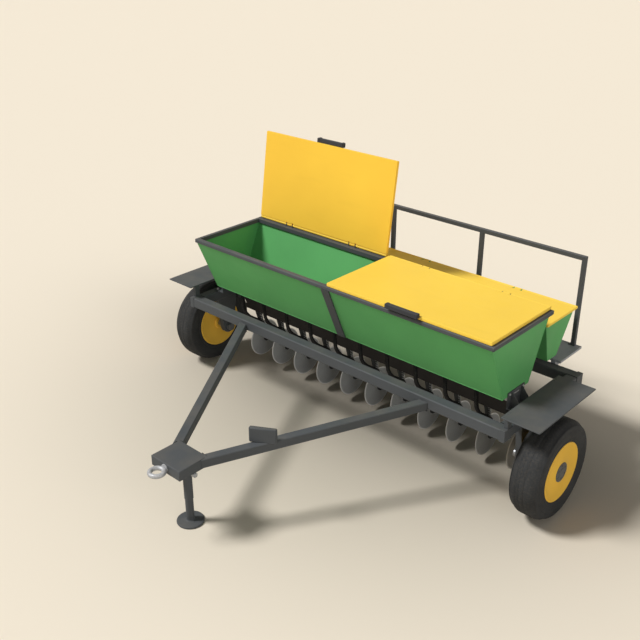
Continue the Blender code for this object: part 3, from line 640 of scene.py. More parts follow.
def even(line: Sequence[Vector], count: int) -> list[Vector]:
    """Points at even distances along a line.

    Args:
        line: a line of many points.
        count: how many stretches the result has.

    Returns:
        The evenly spaced points.
    """
    reach = [0.0]
    for one, other in zip(line, line[1:]):
        reach.append(reach[-1] + (other - one).length)
    points, n = [], 0
    for goal in spread(0, reach[-1], count + 1):
        while n < len(line) - 2 and reach[n + 1] < goal:
            n += 1
        share = (goal - reach[n]) / (reach[n + 1] - reach[n])
        points.append(line[n].lerp(line[n + 1], min(1.0, share)))
    return points


def thick_along_x(one: float, other: float, thickness: float) -> Triple:
    """Place an outline in the plane of Y and Z."""
    return thickness, one, other


def thick_along_y(one: float, other: float, thickness: float) -> Triple:
    """Place an outline in the plane of X and Z."""
    return one, thickness, other


def round_edges(made: bpy.types.Object, width: float, segments: int, harden: bool = True) -> None:
    """Round an object's sharp edges.

    Args:
        made: the object.
        width: how far from the edge the rounding starts.
        segments: how many facets it has.
        harden: whether the flat faces keep their own shading.
    """
    bevel = made.modifiers.new("soft_edges", "BEVEL")
    bevel.width = width
    bevel.segments = segments
    bevel.limit_method = "ANGLE"
    bevel.angle_limit = SHARP
    bevel.harden_normals = harden


class Shape:
    """Closed forms gathered in one mesh, which becomes a piece of the drill."""

    def __init__(self, name: str) -> None:
        """Start an empty mesh under the piece's name."""
        self.name = name
        self.mesh = bmesh.new()

    def skin(self, rings: Sequence[Sequence[Vector]], looped: bool = False) -> None:
        """Join rings of points by faces.

        Args:
            rings: rings with the same number of points.
            looped: whether the last ring joins the first, or both ends are closed by faces.
        """
        rows = [[self.mesh.verts.new(place) for place in ring] for ring in rings]
        for one, other in zip(rows, rows[1:] + (rows[:1] if looped else [])):
            for n in range(len(one)):
                after = (n + 1) % len(one)
                self.mesh.faces.new((one[n], one[after], other[after], other[n]))
        if not looped:
            self.mesh.faces.new(rows[0][::-1])
            self.mesh.faces.new(rows[-1])

    def block(self, low: Point, high: Point) -> None:
        """Add a box between two opposite corners.

        Args:
            low: one corner.
            high: the opposite corner.
        """
        low, high = [Vector(map(pick, low, high)) for pick in (min, max)]
        made = bmesh.ops.create_cube(self.mesh, size=1)["verts"]
        bmesh.ops.scale(self.mesh, vec=high - low, verts=made)
        bmesh.ops.translate(self.mesh, vec=(low + high) / 2, verts=made)

    def lathe(self, outline: Sequence[Point], axis: Vector, place: Point, steps: int = 32,
              looped: bool = False) -> None:
        """Add a turned form.

        Args:
            outline: points of (radius, distance along the axis); flat faces close its ends.
            axis: the way the distance is counted.
            place: where distance 0 lies on the axis.
            steps: how many sides it has.
            looped: whether the outline is a ring that is closed in itself.
        """
        turn = facing(axis)
        angles = [math.tau * n / steps for n in range(steps)]
        rings = [[turn @ Vector((radius * math.cos(a), radius * math.sin(a), reach)) + Vector(place)
                  for a in angles] for radius, reach in outline]
        self.skin(rings, looped)

    def slab(self, outline: Sequence[Point], place: Callable[[float, float, float], Point], low: float,
             high: float) -> None:
        """Add a flat outline with a thickness.

        Args:
            outline: points in a plane.
            place: turns the outline's two values and the thickness's place into a point.
            low: where the thickness starts.
            high: where it ends.
        """
        self.skin([[Vector(place(a, b, depth)) for a, b in outline] for depth in (low, high)])

    def rod(self, route: Sequence[Vector], radius: float | Sequence[float], sides: int = 10,
            looped: bool = False) -> None:
        """Add a round bar, hose or bead along a route.

        Args:
            route: the points of its middle line.
            radius: its radius, or one for each point.
            sides: how many sides it has.
            looped: whether it closes on itself.
        """
        radii = [radius] * len(route) if isinstance(radius, (int, float)) else list(radius)
        angles = [math.tau * k / sides for k in range(sides)]
        rings = []
        side = None
        for n, point in enumerate(route):
            before = route[n - 1] if n or looped else point
            after = route[(n + 1) % len(route)] if n + 1 < len(route) or looped else point
            ahead = (after - before).normalized()
            if side is None:
                side = ahead.orthogonal()
            side = (side - ahead * side.dot(ahead)).normalized()
            other = ahead.cross(side)
            rings.append([point + (side * math.cos(a) + other * math.sin(a)) * radii[n] for a in angles])
        self.skin(rings, looped)

    def bead(self, start: Point, end: Point, radius: float) -> None:
        """Add a weld bead with its ripples.

        Args:
            start: one end.
            end: the other end.
            radius: the bead's radius.
        """
        start, end = Vector(start), Vector(end)
        count = max(4, round((end - start).length / (radius * 1.1)))
        route = [start.lerp(end, share) for share in spread(0, 1, count)]
        ripple = [radius * (0.45 if n in (0, count - 1) else (1.0, 0.86)[n % 2]) for n in range(count)]
        self.rod(route, ripple, 6)

    def dome(self, place: Point, axis: Vector, radius: float, height: float) -> None:
        """Add a rivet or a low round head.

        Args:
            place: where it sits.
            axis: the way it stands out.
            radius: its radius.
            height: its height.
        """
        arc = [(radius * math.cos(t), height * math.sin(t)) for t in spread(0, math.pi / 2, 4)[:-1]]
        self.lathe([(radius, -height / 2), *arc, (radius * 0.12, height)], axis, place, 10)

    def bolt(self, place: Point, axis: Vector, size: float) -> None:
        """Add a hexagon head on a washer.

        Args:
            place: where the washer sits.
            axis: the way the head stands out.
            size: the thread's size, such as 0.012.
        """
        washer, top, core = size * 0.18, size * 0.93, size * 0.3
        self.lathe([(core, -size * 0.2), (size * 1.1, -size * 0.2), (size * 1.1, washer * 0.7),
                    (size, washer), (core, washer)], axis, place, 20)
        self.lathe([(core, washer * 0.8), (size * 0.92, washer * 0.8), (size * 0.92, top - size * 0.165),
                    (size * 0.72, top), (core, top)], axis, place, 6)

    def piece(self, finish: Finish, body: str = CHASSIS, soften: float = 0.0, segments: int = 2,
              origin: Point = (0, 0, 0), stands_for: Iterable[str] = (), slot: str = "") -> None:
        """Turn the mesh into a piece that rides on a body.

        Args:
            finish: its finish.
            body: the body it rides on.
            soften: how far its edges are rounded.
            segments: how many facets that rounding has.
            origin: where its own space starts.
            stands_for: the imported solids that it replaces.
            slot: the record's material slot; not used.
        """
        bmesh.ops.recalc_face_normals(self.mesh, faces=self.mesh.faces)
        bmesh.ops.translate(self.mesh, vec=-Vector(origin), verts=self.mesh.verts)
        data = bpy.data.meshes.new(self.name)
        self.mesh.to_mesh(data)
        self.mesh.free()
        data.shade_smooth()
        data.set_sharp_from_angle(angle=SHARP)
        data.materials.append(finish.material())
        made = bpy.data.objects.new(self.name, data)
        made.location = origin
        bpy.context.scene.collection.objects.link(made)
        if soften:
            round_edges(made, soften, segments)
        bpy.context.view_layer.update()
        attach(made, body)
        if stands_for:
            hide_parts(*stands_for)
        LOG.info("piece %s on %s: %d faces", self.name, body, len(data.polygons))


def dress(finish: Finish, *nodes: str, soften: float = 0.002) -> None:
    """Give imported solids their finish, and round their edges.

    Args:
        finish: the finish they get.
        nodes: the solids' names.
        soften: how far from an edge its rounding starts.
    """
    for node in nodes:
        solid = frame["nodes"][node]
        data = solid.data
        data.materials.clear()
        data.materials.append(finish.material())
        if "custom_normal" in data.attributes:
            data.attributes.remove(data.attributes["custom_normal"])
        data.shade_smooth()
        weld = solid.modifiers.new("joined_faces", "WELD")
        weld.merge_threshold = JOINED
        round_edges(solid, soften, 2, harden=False)
        level = solid.modifiers.new("flat_faces", "WEIGHTED_NORMAL")
        level.weight = FLAT_WEIGHT
        LOG.info("solid %s dressed in %s", node, finish.name)


@dataclass
class Studio:
    """The camera at the photograph's angle, the lamps and the floor."""

    camera_place: Triple = (4.1287, -4.4228, 4.0700)
    azimuth: float = 42.4405
    elevation: float = 25.8390
    lens: float = 50.0
    sensor: float = 36.0
    floor_size: float = 90.0
    floor_colour: Colour = (242, 231, 212)
    backdrop: Colour = (243, 233, 216)
    sky_colour: Colour = (255, 253, 249)
    sky: float = 0.17
    key_strength: float = 3.15
    key_travel: Triple = (0.448, 0.448, -0.773)
    key_spread: float = 14.0
    fill_strength: float = 1.25
    fill_travel: Triple = (-0.94, 0.28, -0.12)
    fill_spread: float = 70.0

    def build(self) -> None:
        """Make the camera, the light and the floor."""
        self.add_camera()
        self.add_lamp("key", self.key_travel, self.key_strength, self.key_spread)
        self.add_lamp("fill", self.fill_travel, self.fill_strength, self.fill_spread)
        self.add_sky()
        self.add_floor()
        bpy.context.scene.view_settings.view_transform = "Standard"

    def add_camera(self) -> None:
        """Place the camera as the photograph was taken."""
        data = bpy.data.cameras.new("camera")
        data.lens = self.lens
        data.sensor_width = self.sensor
        data.clip_end = self.floor_size * 2
        camera = bpy.data.objects.new("camera", data)
        across, up = math.radians(self.azimuth), math.radians(self.elevation)
        back = Vector((math.sin(across) * math.cos(up), -math.cos(across) * math.cos(up), math.sin(up)))
        camera.location = self.camera_place
        camera.rotation_euler = back.to_track_quat("Z", "Y").to_euler()
        bpy.context.scene.collection.objects.link(camera)
        bpy.context.scene.camera = camera

    def add_lamp(self, name: str, travel: Point, strength: float, angle: float) -> None:
        """Add a distant lamp.

        Args:
            name: the lamp's name.
            travel: the way its light goes.
            strength: its strength.
            angle: how wide it seems in degrees, which softens its shadows.
        """
        data = bpy.data.lights.new(name, "SUN")
        data.energy = strength
        data.angle = math.radians(angle)
        lamp = bpy.data.objects.new(name, data)
        lamp.rotation_euler = (-Vector(travel)).to_track_quat("Z", "Y").to_euler()
        bpy.context.scene.collection.objects.link(lamp)

    def add_sky(self) -> None:
        """Light the drill evenly from all sides, and show the pale backdrop to the camera and in metal."""
        world = bpy.data.worlds.new("sky")
        world.use_nodes = True
        tree = world.node_tree
        light = tree.nodes["Background"]
        light.inputs["Color"].default_value = linear(self.sky_colour)
        light.inputs["Strength"].default_value = self.sky
        backdrop = tree.nodes.new("ShaderNodeBackground")
        backdrop.inputs["Color"].default_value = linear(self.backdrop)
        backdrop.inputs["Strength"].default_value = 1.0
        path = tree.nodes.new("ShaderNodeLightPath")
        shown = path.outputs["Is Camera Ray"]
        for ray in ("Is Glossy Ray", "Is Transmission Ray"):
            either = tree.nodes.new("ShaderNodeMath")
            either.operation = "MAXIMUM"
            tree.links.new(shown, either.inputs[0])
            tree.links.new(path.outputs[ray], either.inputs[1])
            shown = either.outputs["Value"]
        choose = tree.nodes.new("ShaderNodeMixShader")
        tree.links.new(shown, choose.inputs["Fac"])
        tree.links.new(light.outputs["Background"], choose.inputs[1])
        tree.links.new(backdrop.outputs["Background"], choose.inputs[2])
        tree.links.new(choose.outputs["Shader"], tree.nodes["World Output"].inputs["Surface"])
        bpy.context.scene.world = world

    def add_floor(self) -> None:
        """Lay the floor."""
        mesh = bmesh.new()
        bmesh.ops.create_grid(mesh, x_segments=8, y_segments=8, size=self.floor_size)
        data = bpy.data.meshes.new("floor")
        mesh.to_mesh(data)
        mesh.free()
        floor = bpy.data.objects.new("floor", data)
        # The floor's colour carries painted shade round and under the drill.
        data.materials.append(Floor("studio_floor", self.floor_colour).make())
        bpy.context.scene.collection.objects.link(floor)


@dataclass
class MainFrame:
    """The square tubes and the axle arms with their welds and plugs, and the hopper's brackets."""

    bead: float = 0.0035
    plug_depth: float = 0.040
    plug_lip: float = 0.004
    plug_proud: float = 0.003
    plug_edge: float = 0.003

    def build(self) -> None:
        """Dress the tubes, weld and plug them, and fold the hopper's brackets."""
        dress(Finish.GREY, "front_beam", "rear_beam", "side_beam_left", "side_beam_right",
              "axle_arm_left", "axle_arm_right")
        self.weld_corners()
        self.plug_tubes()
        for side, outward in SIDES:
            HopperBracket(side, outward).build()

    def weld_corners(self) -> None:
        """Lay a bead round each joint between a side tube and a cross tube, and along the axle arms."""
        beads = Shape("frame_welds")
        for side, _ in SIDES:
            tube = Box("side_beam_" + side)
            for y in (tube.low.y, tube.high.y):
                for z in (tube.low.z, tube.high.z):
                    beads.bead((tube.low.x, y, z), (tube.high.x, y, z), self.bead)
                for x in (tube.low.x, tube.high.x):
                    beads.bead((x, y, tube.low.z), (x, y, tube.high.z), self.bead)
            arm = Box("axle_arm_" + side)
            for x in (arm.low.x, arm.high.x):
                beads.bead((x, arm.low.y, arm.high.z), (x, arm.high.y, arm.high.z), self.bead)
        beads.piece(Finish.DARK)

    def plug_tubes(self) -> None:
        """Plug the ends of the two cross tubes, with a collar round each."""
        plugs = Shape("tube_plugs")
        proud = Vector((0, self.plug_proud, self.plug_proud))
        for tube in ("front_beam", "rear_beam"):
            box = Box(tube)
            for x, outward in ((box.low.x, -1), (box.high.x, 1)):
                plugs.block(Vector((x - outward * self.plug_depth, box.low.y, box.low.z)) - proud,
                            Vector((x + outward * self.plug_lip, box.high.y, box.high.z)) + proud)
        plugs.piece(Finish.GREY, soften=self.plug_edge)


@dataclass
class HopperBracket:
    """A folded bracket that carries one end of the hopper, with its gussets and bolts."""

    side: str
    outward: int
    thick: float = 0.008
    lap: float = 0.034
    inset: float = 0.040
    bend: float = 0.006
    gap: float = 0.0003
    sunk: float = 0.001
    gusset_inset: float = 0.045
    gusset_half: float = 0.003
    gusset_margin: float = 0.012
    gusset_low: float = 0.022
    gusset_top: Span = (0.010, 0.006)
    bolt_inset: float = 0.022
    foot_bolt: float = 0.012
    wall_bolt: float = 0.008
    edge: float = 0.0015

    def build(self) -> None:
        """Fold the bracket, weld in its gussets and bolt it to the frame and the hopper."""
        stand, floor = Box("hopper_stand_" + self.side), Box("hopper_box").low.z
        near, far = (stand.low.x, stand.high.x)[::self.outward]
        top = floor + self.lap
        base = stand.low.z + self.thick
        wall, end = near + self.outward * self.thick, far - self.outward * self.gusset_margin
        sunk = wall - self.outward * self.sunk
        behind = near + self.outward * self.gap
        front, back = stand.low.y + self.inset, stand.high.y - self.inset
        bracket, bolts = Shape("hopper_bracket_" + self.side), Shape("bracket_bolts_" + self.side)
        bracket.slab([(behind, stand.low.z), (far, stand.low.z), (far, base),
                      (wall + self.outward * self.bend, base), (wall, base + self.bend), (wall, top),
                      (behind, top)], thick_along_y, front, back)
        high = top - self.gusset_top[1]
        gusset = [(sunk, base - self.sunk), (end, base - self.sunk), (end, stand.low.z + self.gusset_low),
                  (wall + self.outward * self.gusset_top[0], high), (sunk, high)]
        for y in (front + self.gusset_inset, back - self.gusset_inset):
            bracket.slab(gusset, thick_along_y, y - self.gusset_half, y + self.gusset_half)
        for y in (front + self.bolt_inset, back - self.bolt_inset):
            bolts.bolt((far - self.outward * self.bolt_inset, y, base), ALONG_Z, self.foot_bolt)
            bolts.bolt((wall, y, floor + self.lap / 2), ALONG_X * self.outward, self.wall_bolt)
        bracket.piece(Finish.GREY, stands_for=("hopper_stand_" + self.side,), slot="grey_paint",
                      soften=self.edge)
        bolts.piece(Finish.STEEL)


@dataclass
class Hitch:
    """The hitch block with its eye, the drawbar arms and the coupling holder."""

    ring: float = 0.049
    bar: float = 0.017
    stem: float = 0.021
    flange: float = 0.030
    flange_thick: float = 0.007
    fillet: float = 0.003
    edge: float = 0.0008
    bead: float = 0.0035
    arm_edge: float = 0.004
    arm_height: float = 0.070
    lap: float = 0.080
    lap_start: float = 0.002
    lap_end: float = 0.001
    block_lap: float = 0.060
    block_welds: Span = (0.006, 0.072)

    def build(self) -> None:
        """Dress the arms, forge the eye and lay the welds."""
        dress(Finish.GREY, "hitch_block", "drawbar_left", "drawbar_right", "coupling_holder")
        self.forge_eye()
        self.weld_arms()

    def forge_eye(self) -> None:
        """Forge the towing eye with its neck and its round flange."""
        box = Box("hitch_eye")
        middle = Vector((0, box.low.y + self.ring + self.bar, box.middle.z))
        eye = Shape("towing_eye")
        section = round_corner((self.ring, 0), self.bar, 0, 345, 23)
        eye.lathe(section, ALONG_Z, middle, 64, looped=True)
        seat = box.high.y - middle.y
        neck = [(self.bar * 0.8, self.ring - self.bar * 0.4), (self.bar, self.ring + self.bar * 0.6),
                (self.stem, seat - self.flange_thick - self.fillet), (self.flange, seat - self.flange_thick),
                (self.flange, seat), (self.bar * 0.5, seat)]
        eye.lathe(neck, ALONG_Y, middle, 40)
        eye.piece(Finish.BRIGHT, stands_for=("hitch_eye",), slot="bare_steel", soften=self.edge,
                  origin=middle)

    def weld_arms(self) -> None:
        """Lay beads where the arms meet the block and the front tube."""
        block, y = Box("hitch_block"), Box("front_beam").low.y
        beads = Shape("drawbar_welds")
        for side, outward in SIDES:
            arm = Box("drawbar_" + side)
            far = arm.high.x if outward > 0 else arm.low.x
            high = arm.high.z - self.arm_edge
            low = high - self.arm_height
            for z in (high, low):
                beads.bead((far - outward * self.lap_start, y, z), (far - outward * self.lap, y, z),
                           self.bead)
            for x in (far, far - outward * (self.lap + self.lap_end)):
                beads.bead((x, y, high), (x, y, low), self.bead)
            for rise in self.block_welds:
                z = arm.low.z + rise
                beads.bead((outward * block.high.x, block.high.y - self.arm_edge, z),
                           (outward * (block.high.x - self.block_lap), block.high.y, z), self.bead)
        beads.piece(Finish.DARK)


@dataclass
class Jack:
    """The parking jack: sleeve, leg with its foot, and the locking plunger."""

    plunger: tuple[Span, ...] = ((0.002, 0), (0.009, 0), (0.009, 0.30), (0.0135, 0.32), (0.0135, 0.40),
                                 (0.009, 0.42), (0.009, 0.48), (0.0133, 0.50), (0.019, 0.56),
                                 (0.019, 0.92), (0.0152, 1), (0.002, 1))
    plunger_edge: float = 0.0006
    leg: float = 0.0294
    leg_edge: float = 0.002
    collar: float = 0.030
    fillet: float = 0.012
    foot_thick: float = 0.016
    foot_round: float = 0.006
    foot_chamfer: Span = (0.003, 0.004)
    seam: float = 0.034
    seam_sunk: float = 0.001
    seam_radii: Span = (0.0030, 0.0036)
    seam_steps: int = 72

    def build(self) -> None:
        """Dress the sleeve, and build its weld, the leg and the plunger."""
        dress(Finish.GREY, "jack_sleeve")
        self.weld_sleeve()
        self.turn_leg()
        self.turn_plunger()

    def weld_sleeve(self) -> None:
        """Lay a bead round the sleeve under the block."""
        sleeve = Box("jack_sleeve")
        ring = Shape("jack_weld")
        angles = spread(0, math.tau, self.seam_steps + 1)[:-1]
        seam = [Vector((math.cos(a) * self.seam, sleeve.middle.y + math.sin(a) * self.seam,
                        sleeve.high.z - self.seam_sunk)) for a in angles]
        ring.rod(seam, [self.seam_radii[n % 2] for n in range(len(seam))], 6, looped=True)
        ring.piece(Finish.DARK)

    def turn_leg(self) -> None:
        """Turn the leg with its round foot."""
        box = Box("jack_leg")
        foot, top = box.size.x / 2, box.size.z
        shoulder = foot - self.foot_round
        outline = [(BORE, top), (self.leg - self.leg_edge, top), (self.leg, top - self.leg_edge),
                   (self.leg, self.collar),
                   *round_corner((self.leg + self.fillet, self.collar), self.fillet, 180, 270, 5),
                   (shoulder, self.foot_thick),
                   *round_corner((shoulder, self.foot_thick - self.foot_round), self.foot_round, 90, 0, 4),
                   (foot, self.foot_chamfer[1]), (foot - self.foot_chamfer[0], 0.0), (BORE, 0.0)]
        place = (0, box.middle.y, box.low.z)
        turned = Shape("jack_leg_foot")
        turned.lathe(outline, ALONG_Z, place, 56)
        turned.piece(Finish.GREY, "jack", stands_for=("jack_leg",), slot="grey_paint", origin=place)

    def turn_plunger(self) -> None:
        """Turn the plunger with its collar and its knob."""
        box = Box("jack_plunger")
        place = (box.low.x, box.middle.y, box.middle.z)
        pin = Shape("plunger")
        pin.lathe([(radius, box.size.x * share) for radius, share in self.plunger], ALONG_X, place, 36)
        pin.piece(Finish.BRIGHT, stands_for=("jack_plunger",), slot="bare_steel",
                  soften=self.plunger_edge, origin=place)


@dataclass
class MainHopper:
    """The main hopper: its sheets with rivets, the strap, and the agitator and outlets inside."""

    floor_half: float = 0.168
    rivet: float = 0.0045
    rivet_height: float = 0.0022
    rivet_inset: float = 0.018
    rivet_shares: Span = (0.08, 0.92)
    pitch: float = 0.092
    hem: float = 0.0028
    hem_share: float = 0.004
    seam_bead: float = 0.7
    seam_shares: Span = (0.01, 0.99)
    strap_shares: Span = (0.06, 0.94)
    strap_half: float = 0.022
    strap_proud: float = 0.0118
    strap_rivet: Span = (0.0055, 0.003)
    shaft: float = 0.010
    shaft_height: float = 0.055
    wall_gap: float = 0.0035
    middle_gap: float = 0.002
    bearing: float = 0.028
    bearing_neck: float = 0.020
    bearing_steps: Span = (0.004, 0.012)
    finger: float = 0.036
    finger_bar: float = 0.0032
    finger_bend: float = 0.8
    finger_hook: float = 0.008
    finger_count: int = 19
    finger_margin: float = 0.07
    finger_turn: float = 2.1
    outlet: Span = (0.086, 0.060)
    outlet_bar: float = 0.004
    outlet_rise: float = 0.006
    floor_sheet: float = 0.003
    mouth_inset: float = 0.005
    mouth_rise: float = 0.001
    box: Box = field(init=False)

    def build(self) -> None:
        """Dress the sheets and fit what is on and in them."""
        dress(Finish.GREEN, "hopper_box")
        dress(Finish.GREY, "hopper_rim", "centre_strap")
        self.box = Box("hopper_box")
        self.rivet_ends()
        self.hem_floor()
        self.rivet_strap()
        self.fit_agitator()
        self.fit_outlets()

    def sheet_at(self, height: float, outward: int) -> Vector:
        """A point on the middle of the front or back sheet.

        Args:
            height: how far up the sheet, from 0 to 1.
            outward: -1 for the front sheet and 1 for the back one.

        Returns:
            The point, at X = 0.
        """
        half = self.floor_half + (self.box.size.y / 2 - self.floor_half) * height
        return Vector((0, self.box.middle.y + outward * half, self.box.low.z + self.box.size.z * height))

    def normal(self, outward: int) -> Vector:
        """The way the front or back sheet faces."""
        rise = self.sheet_at(1, outward) - self.sheet_at(0, outward)
        return Vector((0, rise.z * outward, -rise.y * outward)).normalized()

    def rivet_ends(self) -> None:
        """Set a row of rivets along each upright edge of all four sheets."""
        rivets = Shape("hopper_rivets")
        shares = spread(*self.rivet_shares, round(self.box.size.z / self.pitch) + 1)
        ends = ((self.box.low.x, -1), (self.box.high.x, 1))
        for side in (-1, 1):
            for share in shares:
                edge = self.sheet_at(share, side)
                for x, outward in ends:
                    on_sheet = edge + ALONG_X * (x - outward * self.rivet_inset)
                    rivets.dome(on_sheet, self.normal(side), self.rivet, self.rivet_height)
                    on_end = edge + ALONG_X * x - ALONG_Y * (side * self.rivet_inset)
                    rivets.dome(on_end, ALONG_X * outward, self.rivet, self.rivet_height)
        rivets.piece(Finish.GREEN)

    def hem_floor(self) -> None:
        """Fold a hem along the lower edges, and seam the corners."""
        hems = Shape("hopper_seams")
        ends = (self.box.low.x, self.box.high.x)
        for outward in (-1, 1):
            y = self.sheet_at(self.hem_share, outward).y
            hems.rod([Vector((x, y, self.box.low.z + self.hem)) for x in ends], self.hem, 12)
            for x in ends:
                seam = [self.sheet_at(share, outward) + ALONG_X * x for share in self.seam_shares]
                hems.rod(seam, self.hem * self.seam_bead, 12)
        hems.piece(Finish.GREEN)

    def rivet_strap(self) -> None:
        """Rivet the strap over the middle wall."""
        rivets = Shape("strap_rivets")
        ahead = self.normal(-1)
        for share in self.strap_shares:
            on_strap = self.sheet_at(share, -1) + ahead * self.strap_proud
            for side in (-1, 1):
                rivets.dome(on_strap + ALONG_X * self.strap_half * side, ahead, *self.strap_rivet)
        rivets.piece(Finish.GREY)

    def fit_agitator(self) -> None:
        """Lay the agitator shaft with its bearings and fingers along both rooms."""
        along = Vector((0, self.box.middle.y, self.box.low.z + self.shaft_height))
        rooms = ((self.box.low.x + self.wall_gap, -self.middle_gap),
                 (self.middle_gap, self.box.high.x - self.wall_gap))
        step, end = self.bearing_steps
        bearing = [(self.shaft, 0), (self.bearing, 0), (self.bearing, step), (self.bearing_neck, end),
                   (self.shaft, end)]
        shaft = Shape("agitator")
        for low, high in rooms:
            shaft.rod([along + ALONG_X * x for x in (low, high)], self.shaft, 20)
            for x, inward in ((low, ALONG_X), (high, -ALONG_X)):
                shaft.lathe(bearing, inward, along + ALONG_X * x, 28, looped=True)
            places = spread(low + self.finger_margin, high - self.finger_margin, self.finger_count)
            for n, x in enumerate(places):
                turn = Vector((0, math.cos(n * self.finger_turn), math.sin(n * self.finger_turn)))
                root = along + ALONG_X * x
                tip = root + turn * self.finger + ALONG_X * self.finger_hook
                bend = root + turn * self.finger * self.finger_bend
                shaft.rod([root, bend, tip], self.finger_bar, 8)
        shaft.piece(Finish.SHAFT)

    def fit_outlets(self) -> None:
        """Frame the seed outlets in the hopper's floor, and lay a thin dark slab in each as painted shade
        for the opening.
        """
        frames, painted_shade_mouths = Shape("outlet_frames"), Shape("outlet_painted_shade_mouths")
        floor, y = self.box.low.z + self.floor_sheet, self.box.middle.y
        long, wide = (length / 2 for length in self.outlet)
        bar, top = self.outlet_bar, floor + self.outlet_rise
        for x in row_places():
            for side in (-1, 1):
                edge, end = y + side * wide, x + side * long
                frames.block((x - long, edge - bar, floor), (x + long, edge + bar, top))
                frames.block((end - bar, y - wide + bar, floor), (end + bar, y + wide - bar, top))
            # Painted shade: a thin dark slab fills the outlet where the opening would look dark.
            inner = Vector((long - self.mouth_inset, wide - self.mouth_inset, 0))
            middle = Vector((x, y, floor))
            painted_shade_mouths.block(middle - inner, middle + inner + ALONG_Z * self.mouth_rise)
        frames.piece(Finish.STEEL, soften=0.001)
        painted_shade_mouths.piece(Finish.HOSE, soften=0.0003, segments=1)


@dataclass
class Lids:
    """The lids of the hopper and of the small-seed box, with their hinge barrels and grips."""

    barrel: float = 0.0122
    barrel_end: float = 0.004
    barrel_lip: float = 0.001
    lip_share: float = 0.9
    ear_room: float = 0.037
    edge: float = 0.005
    rear_knuckles: Triple = (-0.9, 0.0, 0.9)
    rail_back: float = 0.9255
    rail_top: float = 1.3745
    rail_height: float = 0.030
    rail_overhang: float = 0.018
    rail_gap: float = 0.009
    rail_edge: float = 0.002
    cap: Span = (0.004, 0.030)
    cap_proud: float = 0.0006
    cap_edge: float = 0.004

    def build(self) -> None:
        """Dress the lids and fit their hinge barrels and grips."""
        dress(Finish.LID, "lid_right", "rear_lid", soften=self.edge)
        # The open left lid takes the darker lid yellow as painted shade.
        dress(Finish.LID_PAINTED_SHADE, "lid_left", soften=self.edge)
        dress(Finish.GRIP, "lid_left_handle", "lid_right_handle")
        for side, _ in SIDES:
            lid = Box("lid_" + side)
            quarter = lid.size.x / 4
            self.roll_barrel("lid_" + side, (lid.middle.x - quarter, lid.middle.x + quarter))
            self.cap_grip(side)
        self.lay_rail()
        self.roll_barrel("rear_lid", self.rear_knuckles)

    def lay_rail(self) -> None:
        """Lay the bar that closes the slot under the hinge barrels."""
        wall = Box("hopper_box")
        bar = Shape("hinge_rail")
        bar.block((wall.low.x - self.rail_overhang, wall.high.y + self.rail_gap,
                   self.rail_top - self.rail_height),
                  (wall.high.x + self.rail_overhang, self.rail_back, self.rail_top))
        bar.piece(Finish.GREY, soften=self.rail_edge)

    def roll_barrel(self, body: str, knuckles: Sequence[float]) -> None:
        """Roll a lid's back edge round its hinge line, between the knuckles.

        Args:
            body: the lid's body.
            knuckles: the middles of the knuckles along X.
        """
        lid = Box(body)
        _, y, z = next(joint["pos_m"] for joint in frame["joints"] if joint["name"] == body + "_hinge")
        barrel = Shape(body + "_barrel")
        starts = [lid.low.x + self.barrel_end] + [x + self.ear_room for x in knuckles]
        ends = [x - self.ear_room for x in knuckles] + [lid.high.x - self.barrel_end]
        radii = [self.barrel * share for share in (self.lip_share, 1, 1, self.lip_share)]
        for start, end in zip(starts, ends):
            route = (start, start + self.barrel_lip, end - self.barrel_lip, end)
            barrel.rod([Vector((x, y, z)) for x in route], radii, 24)
        barrel.piece(Finish.LID, body)

    def cap_grip(self, side: str) -> None:
        """Round a grip's ends with caps that cover its bolts.

        Args:
            side: left or right.
        """
        grip = Box(f"lid_{side}_handle")
        caps = Shape(f"grip_caps_{side}")
        proud = Vector((0, self.cap_proud, self.cap_proud))
        for x, inward in ((grip.low.x, 1), (grip.high.x, -1)):
            start, end = (x + inward * step for step in self.cap)
            caps.block(Vector((start, grip.low.y, grip.low.z)) - proud,
                       Vector((end, grip.high.y, grip.high.z)) + proud)
        caps.piece(Finish.GRIP, "lid_" + side, soften=self.cap_edge, segments=3)


